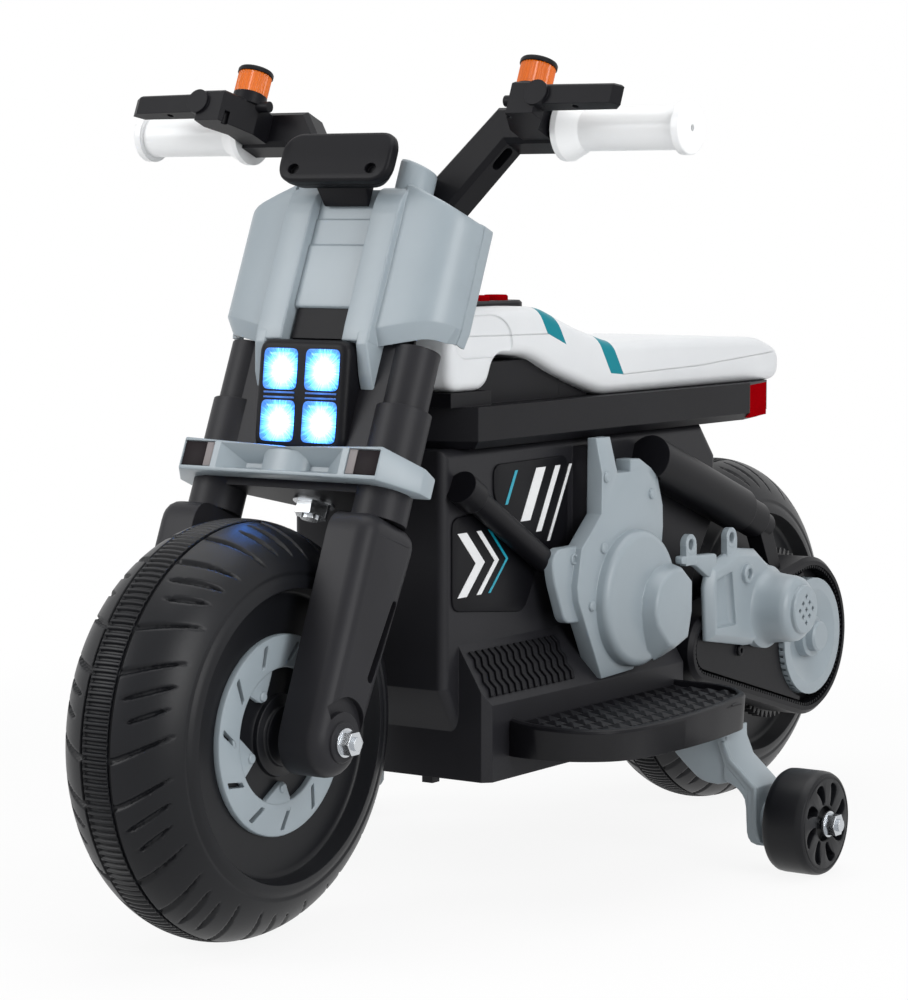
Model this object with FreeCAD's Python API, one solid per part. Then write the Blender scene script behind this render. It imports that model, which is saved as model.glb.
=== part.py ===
import FreeCAD, Part
import math
import os

# Kids electric motorbike. Lengths in mm, +Z up, the bike faces -Y, its left side is +X,
# and the origin is on the floor, midway between the two axles.

V = FreeCAD.Vector

# General
OVERRUN = 5.0
RUN_FIT = 0.05
PLAY = 0.6
WALL = 3.0
EDGE_ROUND = 1.5
CORNER_SHARE = 0.48
SLOT_END_SHARE = 0.9

# Wheels
WHEEL_RADIUS = 125.0
WHEELBASE = 562.0
TYRE_WIDTH = 90.0
TYRE_WALL = 4.0
GROOVE_WIDTH = 2.0
GROOVE_DEPTH = 2.0
TREAD_BAND_WIDTH = 18.0
DISH_RADIUS = 86.0
DISH_DEPTH = 12.0
HUB_RADIUS = 24.0
HUB_DEPTH = 5.0
BLOW_HOLE_RADIUS = 4.0
AXLE_RADIUS = 4.0
WASHER_RADIUS = 8.5
WASHER_THICKNESS = 1.6
NUT_FLATS = 13.0
NUT_HEIGHT = 6.5
THREAD_END = 2.0

# Brake disc trims of the front wheel
DISC_RADIUS = 59.5
DISC_RING_WIDTH = 14.0
DISC_THICKNESS = 4.0
DISC_TAB_COUNT = 6
DISC_TAB_LENGTH = 10.0
DISC_TAB_WIDTH = 13.0
DISC_SLOT_COUNT = 12
DISC_SLOT_LENGTH = 9.0
DISC_SLOT_WIDTH = 3.0
RIVET_RADIUS = 3.5
RIVET_HEIGHT = 1.5

# Steering frame: rake in degrees, and the axle's distance ahead of the steering axis
FORK_RAKE = 22.5
FORK_OFFSET = 25.0
STEM_RADIUS = 6.0
STEM_NUT_FLATS = 19.0
STEM_NUT_HEIGHT = 8.0
STEM_WASHER_RADIUS = 13.0

# Fork legs
LEG_TYRE_GAP = 5.0
LEG_WIDTH = 30.0
LEG_DEPTH = 44.0
LEG_TOP = 135.0
LEG_FOOT_RADIUS = 21.0
LEG_ROUND = 8.0
LEG_TOP_CUT = 16.0
LEG_SLOT_LENGTH = 46.0
LEG_SLOT_WIDTH = 6.0
LEG_SLOT_DEPTH = 4.0
AXLE_BOSS_RADIUS = 12.0
AXLE_BOSS_HEIGHT = 1.5
CRESCENT_WIDTH = 4.0
CRESCENT_DEPTH = 3.0

# Fork crown
TUBE_SPREAD = 124.0
TUBE_SETBACK = 15.0
TUBE_RADIUS = 17.0
TUBE_UPPER_RADIUS = 14.0
TUBE_STEP = 205.0
CROWN_BOTTOM = 150.0
CROWN_PLATE = 8.0
CROWN_TOP = 243.0
CROWN_PANEL = 7.0
CROWN_PANEL_FRONT = 26.0
CROWN_BACK = 14.0
CROWN_BOSS_RADIUS = 17.0

# Head tube and its neck to the body
HEAD_RADIUS = 14.0
NECK_WIDTH = 26.0

# Bumper
BUMPER_BOTTOM = 153.0
BUMPER_HEIGHT = 21.0
BUMPER_FRONT = 44.0
BUMPER_FRONT_WIDTH = 148.0
BUMPER_WIDTH = 182.0
BUMPER_END = 8.0
BUMPER_THICKNESS = 12.0
BUMPER_DIP = 3.0
BUMPER_END_DROP = 9.0
BUMPER_TROUGH_DEPTH = 4.0
BUMPER_TROUGH_WIDTH = 44.0
BUMPER_BOSS_RADIUS = 9.0
REFLECTOR_WIDTH = 13.0
REFLECTOR_HEIGHT = 13.0
REFLECTOR_DEPTH = 2.5

# Headlamp
LAMP_TILT = 16.0
LAMP_WIDTH = 70.0
LAMP_HEIGHT = 70.0
LAMP_MIDDLE = 205.0
LAMP_FRONT = 38.0
LENS_SIZE = 25.0
LENS_PITCH = 31.5
LENS_DEPTH = 4.0
LENS_ROUND = 4.0
LAMP_ROUND = 8.0
LENS_PROUD = 1.0

# Front cowl
COWL_BOTTOM = 240.0
COWL_TOP = 343.0
COWL_RIB_TOP = 333.0
COWL_RIB_BOTTOM = 206.0
COWL_RIB_TIP_FRONT = 34.0
COWL_RECESS_FRONT = 37.0
COWL_RIB_FRONT = 48.0
COWL_RIB_INNER = 20.0
COWL_RIB_OUTER = 45.0
COWL_RIB_DRAFT = 3.0
COWL_SHOULDER_FRONT = 36.0
COWL_CORNER_FRONT = 12.0
COWL_WIDTH = 174.0
COWL_SIDE_DEPTH = 10.0
COWL_CORNER_DROP = 17.0
COWL_CORNER_LIFT = 10.0
CAP_RADIUS = 11.0
CAP_HEIGHT = 20.0
CAP_SPREAD = 76.0
CAP_SETBACK = 24.0

# Handlebar
RISER_WIDTH = 40.0
RISER_BACK = 11.0
RISER_CLEARANCE = 4.0
BAR_FRONT = 9.0
BAR_BACK = 13.0
BAR_THICKNESS = 24.0
BAR_ROOT_LEVEL = 340.0
BAR_ROOT_SPREAD = 76.0
BAR_BEND_SPREAD = 158.0
GRIP_LEVEL = 394.0
BAR_END = 120.0
BAR_HOLE_LENGTH = 16.0
BAR_HOLE_WIDTH = 8.0
BAR_HOLE_SHARE = 0.78
BAR_HOLE_DEPTH_SHARE = 1.8
SPIGOT_RADIUS = 8.0
BAR_ROUND = 3.0

# Grips
GRIP_END = 208.0
GRIP_RADIUS = 13.0
GRIP_FLANGE_RADIUS = 19.0
GRIP_FLANGE_WIDTH = 4.0
GRIP_TAPER_LENGTH = 12.0
GRIP_END_RADIUS = 16.0
GRIP_END_WIDTH = 6.0
GRIP_VENT_RADIUS = 2.0

# Levers and indicators
LEVER_INNER = 98.0
LEVER_TIP = 179.0
LEVER_CLAMP_WIDTH = 20.0
LEVER_FRONT = 48.0
LEVER_DEPTH = 11.0
LEVER_BOTTOM = 389.0
LEVER_HEIGHT = 13.0
LEVER_BODY_BOTTOM = 383.0
LEVER_BODY_HEIGHT = 21.0
LAMP_FOOT_HEIGHT = 6.0
LEVER_BODY_LENGTH = 30.0
LEVER_PAD_RADIUS = 8.0
LEVER_PAD_HEIGHT = 2.0
LEVER_HOLE_RADIUS = 2.2
LEVER_HOLE_DEPTH = 8.0
LEVER_STUB_RADIUS = 3.5
LEVER_STUB_LENGTH = 8.0
LAMP_POST = 108.0
LAMP_POST_FRONT = 24.0
INDICATOR_RADIUS = 9.5
INDICATOR_HEIGHT = 13.0
INDICATOR_RIB_COUNT = 3
INDICATOR_RIB_DEPTH = 1.2
INDICATOR_CAP_RADIUS = 8.0
INDICATOR_CAP_HEIGHT = 6.0

# Dash pod
POD_WIDTH = 85.0
POD_BACK_WIDTH = 60.0
POD_FRONT = 57.0
POD_TOP = 368.0
POD_WAIST_LEVEL = 350.0
POD_NECK_BOTTOM = 318.0
POD_NECK_WIDTH = 40.0
POD_ROUND = 5.0
POD_SEAM = 1.0
POD_SCREW_SPREAD = 52.0
POD_SCREW_RADIUS = 2.5
POD_SCREW_DEPTH = 6.0

# Body shells
BODY_FRONT = 146.0
BODY_LENGTH = 336.0
BODY_BOTTOM = 78.0
BODY_TOP = 284.0
BODY_WIDTH = 116.0
BODY_ROUND = 6.0
ARCH_GAP = 8.0
BODY_OUTLINE_SHARES = [(0, 1), (0.94, 1), (1, 0.89), (1, 0), (0.1, 0), (0, 0.28)]

# Sills beside the feet
SILL_FRONT = 130.0
SILL_LENGTH = 238.0
SILL_WIDTH = 160.0
SILL_HEIGHT = 48.0
SHIN_HEIGHT = 36.0
SILL_NOSE = 5.0

# Belly pan
PAN_WIDTH = 140.0
PAN_LENGTH = 220.0
PAN_THICKNESS = 3.0
PAN_ROUND = 12.0
PAN_HOOK = 8.0
PAN_HOOK_ASIDE = 8.0

# Seat rail
RAIL_WIDTH = 140.0
RAIL_HEIGHT = 26.0
RAIL_FRONT = 142.0
RAIL_REAR = 262.0
RAIL_NOSE_WIDTH = 76.0
RAIL_NOSE_LENGTH = 16.0
RAIL_TAIL_WIDTH = 116.0
RAIL_TAIL_LENGTH = 46.0
RAIL_CHAMFER = 5.0
PAD_REAR = 100.0
PLINTH_WIDTH = 104.0
PLINTH_HEIGHT = 26.0
PLINTH_REAR = 6.0

# Seat with tank
SEAT_WIDTH = 124.0
SEAT_FRONT = 144.0
SEAT_LENGTH = 420.0
SEAT_HEIGHT = 60.0
SEAT_WALL = 4.0
SEAT_ROUND = 5.0
SEAT_SWEEP = 60.0
SEAT_FOOT_SHARE = 0.15
SEAT_OUTLINE_SHARES = [(0, SEAT_FOOT_SHARE), (0, 0.8), (0.04, 1), (0.24, 1), (0.345, 0.76),
                       (0.45, 0.575), (0.75, 0.56), (0.93, 0.52), (1, 0.36), (0.995, 0), (0.42, 0),
                       (0.29, 0.28), (0.22, 0.48), (0.12, 0.52), (0.1, SEAT_FOOT_SHARE)]
SEAT_HOLLOW_SHARES = [(0.012, -0.1), (0.012, 0.75), (0.045, 0.93), (0.235, 0.93), (0.335, 0.69),
                      (0.445, 0.5), (0.75, 0.49), (0.925, 0.45), (0.985, 0.3), (0.985, -0.1)]

# Control panel and buttons
PANEL_WIDTH = 70.0
PANEL_FRONT = 112.0
PANEL_LENGTH = 98.0
PANEL_HEIGHT = 6.0
PANEL_SINK = 3.0
PANEL_ROUND = 14.0
BUTTON_RADIUS = 8.0
BUTTON_ASIDE = 20.0
BUTTON_PITCH = 21.0
BUTTON_REAR_GAP = 18.0
BUTTON_PROUD = 3.5
BUTTON_TRAVEL = 1.5
BUTTON_GAP = 0.4
BUTTON_FLANGE = 2.0

# Tail lamps
TAIL_LAMP_LENGTH = 46.0
TAIL_LAMP_HEIGHT = 23.0
TAIL_LAMP_DEPTH = 9.0

# Engine covers
COVER_BACK = 70.0
COVER_THICKNESS = 12.0
COVER_FRONT = 30.0
COVER_LENGTH = 107.0
COVER_BOTTOM = 126.0
COVER_HEIGHT = 158.0
COVER_BEVEL = 2.5
COVER_OUTLINE_SHARES = [(0.28, 1), (0.44, 1), (0.453, 0.85), (0.607, 0.85), (0.607, 0.9), (0.71, 0.9),
                        (0.99, 0.81), (1, 0.6), (0.93, 0.25), (0.65, 0.02), (0.28, 0.01), (0.25, 0.05),
                        (0.015, 0.345), (0, 0.41), (0.05, 0.56), (0.275, 0.69)]
COVER_POST_WIDTH = 24.0
COVER_POST_SETBACK = 43.0
EAR_FRONT = 52.0
EAR_LENGTH = 37.0
EAR_BOTTOM = 166.0
EAR_HEIGHT = 50.0
EAR_THICKNESS = 7.0
EAR_OUTLINE_SHARES = [(1, 1), (0.2, 1), (0, 0.87), (0.06, 0.6), (0.41, 0.02), (1, 0)]
ENGINE_DISC_RADIUS = 45.0
ENGINE_DISC_MIDDLE = 37.0
ENGINE_DISC_LEVEL = 177.0
ENGINE_DISC_HEIGHT = 9.0
ENGINE_DISC_BEVEL = 4.0
ENGINE_BOSS_RADIUS = 30.0
ENGINE_BOSS_TOP_RADIUS = 26.0
ENGINE_BOSS_HEIGHT = 11.0
ENGINE_BOSS_SETBACK = 20.0
ENGINE_BOSS_DROP = 10.0
COVER_SCREW_RADIUS = 3.5
COVER_SCREW_HEIGHT = 2.0
COVER_SCREW_SHARES = [(0.32, 0.84), (0.855, 0.745), (0.29, 0.55), (0.157, 0.32)]

# Down tubes
DOWN_TUBE_RADIUS = 8.0
DOWN_TUBE_TOP_Y = 139.0
DOWN_TUBE_TOP_Z = 262.0
DOWN_TUBE_LOW_Y = 44.0
DOWN_TUBE_LOW_Z = 207.0
DOWN_TUBE_COLLAR = 2.5
DOWN_TUBE_COLLAR_LENGTH = 16.0

# Rear shocks
SHOCK_RADIUS = 16.0
SHOCK_TOP_Y = 76.0
SHOCK_TOP_Z = 266.0
SHOCK_LOW_Y = 236.0
SHOCK_LOW_Z = 208.0
SHOCK_TIP_RADIUS = 9.0
SHOCK_NECK_RADIUS = 13.0
SHOCK_TIP_LENGTH = 16.0
SHOCK_NECK_LENGTH = 26.0
SHOCK_BRACKET = 12.0

# Belt guards, which carry the rear axle
GUARD_THICKNESS = 27.0
GUARD_FLOOR = 16.0
GUARD_RIM = 6.0
GUARD_REAR_RADIUS = 57.0
GUARD_FRONT_RADIUS = 24.0
GUARD_FRONT = 134.0
GUARD_FRONT_LIFT = 7.0
GUARD_BEVEL = 3.0
GUARD_BOSS_RADIUS = 13.0

# Motor, its covers and the gear pair
GEAR_MODULE = 2.0
GEAR_TEETH = 60
PINION_TEETH = 22
GEAR_PRESSURE = 20.0
GEAR_BACKLASH = 0.3
GEAR_ROOT_SHARE = 1.25
GEAR_FLANK_STEPS = 4
GEAR_TYRE_GAP = 2.0
GEAR_WIDTH = 8.0
GEAR_HUB_RADIUS = 40.0
MOTOR_BEARING = 159.0
MOTOR_RADIUS = 18.0
MOTOR_LENGTH = 48.0
MOTOR_SHAFT_RADIUS = 2.5
CAN_RADIUS = 22.5
CAN_LENGTH = 29.0
CAN_ROUND = 4.0
CAN_DISC_RADIUS = 17.0
CAN_DISC_HEIGHT = 3.5
MOTOR_PLATE_THICKNESS = 5.0
MOTOR_PLATE_FRONT = 88.0
MOTOR_PLATE_LENGTH = 146.0
MOTOR_PLATE_BOTTOM = 126.0
MOTOR_PLATE_HEIGHT = 74.0
MOTOR_PLATE_SHARES = [(0, 0.93), (0.14, 0.89), (0.25, 0.77), (0.23, 0.67), (0.25, 0.17), (0.62, 0.05), (1, 0),
                      (1, 0.64), (0.82, 0.8), (0.7, 0.95), (0.5, 1), (0, 1)]
MOTOR_EAR_SHARES = [0.09, 0.47]
EAR_LOOP_RADIUS = 7.0
EAR_LOOP_HOLE = 3.5
VENT_SIZE = 4.0
VENT_PITCH = 6.5
VENT_ROWS = 3
PULLEY_RADIUS = 42.0
PULLEY_THICKNESS = 13.0
PULLEY_TEETH = 48
PULLEY_TOOTH = 2.0
PULLEY_DISH_RADIUS = 34.0
PULLEY_DISH_DEPTH = 7.0
PULLEY_HUB_RADIUS = 15.0
PULLEY_CAP_RADIUS = 11.0
PULLEY_CAP_HEIGHT = 7.0

# Footrests and accelerator pedal
FOOTREST_FRONT = 107.0
FOOTREST_LENGTH = 195.0
FOOTREST_WIDTH = 79.0
FOOTREST_TOP = 115.0
FOOTREST_HEIGHT = 23.0
FOOTREST_RIM = 6.0
FOOTREST_RIM_HEIGHT = 4.0
FOOTREST_SHARES = [(0, 0), (0.24, 0.004), (0.45, 0.02), (0.63, 0.055), (0.78, 0.11), (0.9, 0.19),
                   (0.97, 0.29), (1, 0.41), (1, 0.56), (0.985, 0.71), (0.96, 0.86), (0.92, 0.96), (0.8, 0.985),
                   (0, 1)]
FOOTREST_ROUND = 14.0
FOOTREST_BEVEL = 3.0
PEDAL_WIDTH = 38.0
PEDAL_LENGTH = 58.0
PEDAL_THICKNESS = 5.0
PEDAL_RISE = 9.0
PEDAL_ASIDE = 108.0
PEDAL_HINGE_Y = 48.0
PEDAL_HINGE_LIFT = 5.0
PEDAL_PIN_RADIUS = 2.0
PEDAL_KNUCKLE_RADIUS = 4.0
LUG_WIDTH = 5.0

# Stabilisers
STABILISER_RADIUS = 34.0
STABILISER_OUTER = 207.0
STABILISER_WIDTH = 30.0
STABILISER_Y = 75.0
STABILISER_HUB_RADIUS = 11.0
STABILISER_RIM = 6.0
STABILISER_DISH = 4.0
STABILISER_SLOT_COUNT = 10
STABILISER_SLOT_WIDTH = 5.5
ARM_DEPTH = 30.0
ARM_THICKNESS = 12.0
ARM_PLATE = 7.0
ARM_INNER = 92.0
ARM_ELBOW = 140.0
ARM_FOOT = 14.0
ARM_RIB = 4.0
ARM_RIB_COUNT = 3
ARM_BOLT_GAP = 1.0
ARM_SPACER = 13.0
ARM_SPACER_RADIUS = 11.0

# Inside pieces
BATTERY_WIDTH = 70.0
BATTERY_LENGTH = 100.0
BATTERY_HEIGHT = 94.0
BATTERY_FRONT = 70.0
BOARD_LENGTH = 70.0
BOARD_WIDTH = 50.0
BOARD_HEIGHT = 22.0
SOCKET_RADIUS = 2.8
SOCKET_BODY_RADIUS = 6.0
SOCKET_FLANGE_RADIUS = 10.0
SOCKET_FLANGE = 2.0
SOCKET_LENGTH = 16.0
SOCKET_DEPTH = 13.0
SOCKET_Y = 100.0
SOCKET_Z = 200.0

# Places that follow from the sizes above
FRONT_AXLE = V(0, -WHEELBASE / 2, WHEEL_RADIUS)
REAR_AXLE = V(0, WHEELBASE / 2, WHEEL_RADIUS)
RAKE = math.radians(FORK_RAKE)
FORWARD = V(0, -math.cos(RAKE), math.sin(RAKE))
STEER_FOOT = FRONT_AXLE - FORWARD * FORK_OFFSET
STEER_FRAME = FreeCAD.Placement(STEER_FOOT, FreeCAD.Rotation(V(1, 0, 0), -FORK_RAKE))
TYRE_HALF = TYRE_WIDTH / 2
BODY_HALF = BODY_WIDTH / 2
SILL_HALF = SILL_WIDTH / 2
DISH_FLOOR = TYRE_HALF - DISH_DEPTH
HUB_FACE = TYRE_HALF - HUB_DEPTH
TREAD_RISE = WHEEL_RADIUS - DISH_RADIUS
TREAD_ARC = (TYRE_HALF ** 2 + TREAD_RISE ** 2) / (2 * TREAD_RISE)
LEG_INNER = TYRE_HALF + LEG_TYRE_GAP
LEG_OUTER = LEG_INNER + LEG_WIDTH
LEG_FACE = LEG_OUTER + AXLE_BOSS_HEIGHT
GUARD_OUTER = BODY_HALF + GUARD_THICKNESS
GUARD_SEAT = BODY_HALF + GUARD_FLOOR
PULLEY_OUTER = GUARD_SEAT + PULLEY_THICKNESS
RAIL_TOP = BODY_TOP + RAIL_HEIGHT
PAD_HEIGHT = SEAT_FOOT_SHARE * SEAT_HEIGHT
TANK_TOP = RAIL_TOP + SEAT_HEIGHT
PANEL_FLOOR = TANK_TOP - PANEL_SINK
PANEL_TOP = PANEL_FLOOR + PANEL_HEIGHT
COVER_FACE = COVER_BACK + COVER_THICKNESS
FOOTREST_OUTER = SILL_HALF + FOOTREST_WIDTH
FOOTREST_FLOOR = FOOTREST_TOP - FOOTREST_RIM_HEIGHT
FOOTREST_BOTTOM = FOOTREST_TOP - FOOTREST_HEIGHT
STABILISER_INNER = STABILISER_OUTER - STABILISER_WIDTH
GEAR_INNER = TYRE_HALF + GEAR_TYRE_GAP
GEAR_OUTER = GEAR_INNER + GEAR_WIDTH
CENTRE_DISTANCE = GEAR_MODULE * (GEAR_TEETH + PINION_TEETH) / 2
MOTOR_Y = REAR_AXLE.y + CENTRE_DISTANCE * math.cos(math.radians(MOTOR_BEARING))
MOTOR_Z = REAR_AXLE.z + CENTRE_DISTANCE * math.sin(math.radians(MOTOR_BEARING))
MOTOR_PLATE_FACE = GUARD_OUTER + MOTOR_PLATE_THICKNESS
CAN_END = MOTOR_PLATE_FACE + CAN_LENGTH + CAN_DISC_HEIGHT
SAME_PLACE = OVERRUN / 1000


def rounded_wire(points, radius):
    """Closed flat outline through the points, each corner rounded by a tangent arc."""
    count = len(points)
    arcs = []
    for place, corner in enumerate(points):
        back = points[place - 1] - corner
        ahead = points[(place + 1) % count] - corner
        half = back.getAngle(ahead) / 2
        reach = min(radius / math.tan(half), back.Length * CORNER_SHARE, ahead.Length * CORNER_SHARE)
        back.normalize()
        ahead.normalize()
        inward = back + ahead
        inward.normalize()
        sagitta = reach * (1 - math.sin(half)) / math.cos(half)
        arcs.append((corner + back * reach, corner + inward * sagitta, corner + ahead * reach))
    edges = []
    for place, (start, middle, end) in enumerate(arcs):
        edges.append(Part.Arc(start, middle, end).toShape())
        edges.append(Part.makeLine(end, arcs[(place + 1) % count][0]))
    return Part.Wire(edges)


def flat_wire(points, radius):
    if radius:
        return rounded_wire(points, radius)
    return Part.makePolygon(points + points[:1])


def slab_x(pairs, low, high, radius=0):
    """Outline of (y, z) pairs, extruded along X."""
    points = [V(low, y, z) for y, z in pairs]
    return Part.Face(flat_wire(points, radius)).extrude(V(high - low, 0, 0))


def slab_y(pairs, low, high, radius=0):
    """Outline of (x, z) pairs, extruded along Y."""
    points = [V(x, low, z) for x, z in pairs]
    return Part.Face(flat_wire(points, radius)).extrude(V(0, high - low, 0))


def slab_z(pairs, low, high, radius=0):
    """Outline of (x, y) pairs, extruded along Z."""
    points = [V(x, y, low) for x, y in pairs]
    return Part.Face(flat_wire(points, radius)).extrude(V(0, 0, high - low))


def box(x, y, z):
    """Block between a low and a high value on each axis."""
    return Part.makeBox(x[1] - x[0], y[1] - y[0], z[1] - z[0], V(x[0], y[0], z[0]))


def rod(start, end, radius):
    return Part.makeCylinder(radius, (end - start).Length, start, end - start)


def rod_x(centre, low, high, radius):
    return Part.makeCylinder(radius, high - low, V(low, centre.y, centre.z), V(1, 0, 0))


def cone_x(centre, low, high, low_radius, high_radius):
    return Part.makeCone(low_radius, high_radius, high - low, V(low, centre.y, centre.z), V(1, 0, 0))


def spread(shares, start, size):
    """Points at shares of a size, counted from a start."""
    return [(start[0] + a * size[0], start[1] + b * size[1]) for a, b in shares]


def both_sides(pairs):
    """Outline of a whole piece from the pairs of its half, which run away from the middle and back."""
    return pairs + [(-x, y) for x, y in reversed(pairs) if x > 0]


def rim(shape, axis, level):
    """Edges that lie in the plane where one coordinate has the given level."""
    def in_plane(edge):
        ends = [edge.valueAt(edge.FirstParameter), edge.valueAt(edge.LastParameter),
                edge.valueAt((edge.FirstParameter + edge.LastParameter) / 2)]
        return all(abs(getattr(point, axis) - level) < SAME_PLACE for point in ends)
    return [edge for edge in shape.Edges if in_plane(edge)]


def bevelled(shape, axis, level, size):
    return shape.makeChamfer(size, rim(shape, axis, level))


def softened(shape, axis, level, radius):
    return shape.makeFillet(radius, rim(shape, axis, level))


def fused(first, *others):
    return first.fuse(list(others)).removeSplitter()


def mirrored(shape):
    return shape.mirror(V(0, 0, 0), V(1, 0, 0))


def in_steering(shape):
    """Set a piece drawn upright on the steering axis into its raked place."""
    placed = shape.copy()
    placed.Placement = STEER_FRAME.multiply(placed.Placement)
    return placed


def hexagon(centre_y, centre_z, flats):
    radius = flats / math.sqrt(3)
    turns = [math.pi * k / 3 for k in range(6)]
    return [(centre_y + radius * math.cos(t), centre_z + radius * math.sin(t)) for t in turns]


def nut_and_washer(centre, face, bore):
    """Washer on a face and a hexagon nut on the washer, looking along +X."""
    washer_top = face + WASHER_THICKNESS
    hole = rod_x(centre, face - OVERRUN, washer_top + NUT_HEIGHT + OVERRUN, bore)
    washer = rod_x(centre, face, washer_top, WASHER_RADIUS).cut(hole)
    nut = slab_x(hexagon(centre.y, centre.z, NUT_FLATS), washer_top, washer_top + NUT_HEIGHT).cut(hole)
    return [washer, nut]


def axle_end(face):
    return face + WASHER_THICKNESS + NUT_HEIGHT + THREAD_END


# Wheels

def tyre(axle):
    """Blow-moulded wheel: round tread, dished sides, a hub and a hollow inside."""
    crown = V(0, 0, WHEEL_RADIUS)
    side = V(TYRE_HALF, 0, DISH_RADIUS)
    bore = AXLE_RADIUS + RUN_FIT
    corners = [V(TYRE_HALF, 0, DISH_RADIUS), V(DISH_FLOOR, 0, DISH_RADIUS), V(DISH_FLOOR, 0, HUB_RADIUS),
               V(HUB_FACE, 0, HUB_RADIUS), V(HUB_FACE, 0, bore)]
    corners += [V(-p.x, 0, p.z) for p in reversed(corners)]
    tread = Part.Arc(V(-TYRE_HALF, 0, DISH_RADIUS), crown, side).toShape()
    wheel = turned_x(Part.Wire([tread] + Part.makePolygon(corners).Edges))
    floor = DISH_FLOOR - TYRE_WALL
    low = HUB_RADIUS + TYRE_WALL
    ledge = DISH_RADIUS + TYRE_WALL
    inner = TREAD_ARC - TYRE_WALL
    reach = math.sqrt(inner ** 2 - (ledge - WHEEL_RADIUS + TREAD_ARC) ** 2)
    corners = [V(reach, 0, ledge), V(floor, 0, ledge), V(floor, 0, low)]
    corners += [V(-p.x, 0, p.z) for p in reversed(corners)]
    roof = Part.Arc(V(-reach, 0, ledge), V(0, 0, WHEEL_RADIUS - TYRE_WALL), V(reach, 0, ledge)).toShape()
    hollow = turned_x(Part.Wire([roof] + Part.makePolygon(corners).Edges))
    vent_middle = V(0, DISC_RADIUS - DISC_RING_WIDTH / 2, 0)
    vent = rod_x(vent_middle, -DISH_FLOOR - OVERRUN, 0, BLOW_HOLE_RADIUS)
    wheel = wheel.cut([hollow, vent] + [tread_groove(side_sign) for side_sign in (1, -1)])
    wheel.translate(axle)
    return wheel


def turned_x(wire):
    """Solid of a closed outline in the XZ plane, turned about the X axis."""
    return Part.Face(wire).revolve(V(0, 0, 0), V(1, 0, 0), 360)


def tread_groove(sign):
    middle = sign * (TREAD_BAND_WIDTH + GROOVE_WIDTH) / 2
    low = middle - GROOVE_WIDTH / 2
    outer = Part.makeCylinder(WHEEL_RADIUS + OVERRUN, GROOVE_WIDTH, V(low, 0, 0), V(1, 0, 0))
    floor_radius = WHEEL_RADIUS - TREAD_ARC + math.sqrt(TREAD_ARC ** 2 - middle ** 2) - GROOVE_DEPTH
    return outer.cut(Part.makeCylinder(floor_radius, GROOVE_WIDTH, V(low, 0, 0), V(1, 0, 0)))


def disc_trim():
    """Brake-disc look-alike on the dish floor: a slotted ring with riveted tabs."""
    low = DISH_FLOOR
    high = low + DISC_THICKNESS
    inner = DISC_RADIUS - DISC_RING_WIDTH
    ring = rod_x(FRONT_AXLE, low, high, DISC_RADIUS)
    ring = ring.cut(rod_x(FRONT_AXLE, low - OVERRUN, high + OVERRUN, inner))
    tab_end = inner - DISC_TAB_LENGTH
    half = DISC_TAB_WIDTH / 2
    y, z = FRONT_AXLE.y, FRONT_AXLE.z
    pieces = []
    for k in range(DISC_TAB_COUNT):
        tab = box((low, high), (y - half, y + half), (z + tab_end, z + inner + half))
        rivet = rod_x(V(0, y, z + tab_end + half), low, high + RIVET_HEIGHT, RIVET_RADIUS)
        pieces.append(turned(tab.fuse(rivet), k * 360 / DISC_TAB_COUNT))
    ring = fused(ring, *pieces)
    slot_low = z + inner + (DISC_RING_WIDTH - DISC_SLOT_LENGTH) / 2
    slot_half = DISC_SLOT_WIDTH / 2
    slot = box((low - OVERRUN, high + OVERRUN), (y - slot_half, y + slot_half),
               (slot_low, slot_low + DISC_SLOT_LENGTH))
    step = 360 / DISC_SLOT_COUNT
    return ring.cut([turned(slot, (k + 0.5) * step) for k in range(DISC_SLOT_COUNT)])


def turned(shape, degrees, centre=FRONT_AXLE):
    copy = shape.copy()
    copy.rotate(centre, V(1, 0, 0), degrees)
    return copy


def front_discs():
    disc = disc_trim()
    return Part.makeCompound([disc, mirrored(disc)])


def gear_face(teeth, centre, phase):
    """Involute gear outline in the YZ plane."""
    pitch = GEAR_MODULE * teeth / 2
    base = pitch * math.cos(math.radians(GEAR_PRESSURE))
    tip = pitch + GEAR_MODULE
    root = pitch - GEAR_ROOT_SHARE * GEAR_MODULE

    def roll(radius):
        angle = math.acos(base / radius)
        return math.tan(angle) - angle

    half = math.pi / (2 * teeth) - GEAR_BACKLASH / (2 * pitch) + roll(pitch)
    start = max(base, root)
    radii = [start + (tip - start) * k / GEAR_FLANK_STEPS for k in range(GEAR_FLANK_STEPS + 1)]
    flank = [(root, half)] * (root < base) + [(r, half - roll(r)) for r in radii]
    points = []
    for k in range(teeth):
        middle = phase + 2 * math.pi * k / teeth
        sides = [(r, middle - a) for r, a in flank] + [(r, middle + a) for r, a in reversed(flank)]
        points += [V(0, centre.y + r * math.cos(t), centre.z + r * math.sin(t)) for r, t in sides]
    return Part.Face(Part.makePolygon(points + points[:1]))


def gear_slab(teeth, centre, phase, low, high):
    face = gear_face(teeth, centre, phase)
    face.translate(V(low, 0, 0))
    return face.extrude(V(high - low, 0, 0))


def drive_gear():
    """Gear of the rear wheel: a boss in the left dish and the toothed disc outside the tyre."""
    disc = gear_slab(GEAR_TEETH, REAR_AXLE, math.radians(MOTOR_BEARING), GEAR_INNER, GEAR_OUTER)
    boss = rod_x(REAR_AXLE, DISH_FLOOR, GEAR_INNER, GEAR_HUB_RADIUS)
    recess = rod_x(REAR_AXLE, DISH_FLOOR - OVERRUN, HUB_FACE, HUB_RADIUS)
    bore = rod_x(REAR_AXLE, DISH_FLOOR - OVERRUN, GEAR_OUTER + OVERRUN, AXLE_RADIUS + RUN_FIT)
    return fused(disc, boss).cut([recess, bore])


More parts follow.
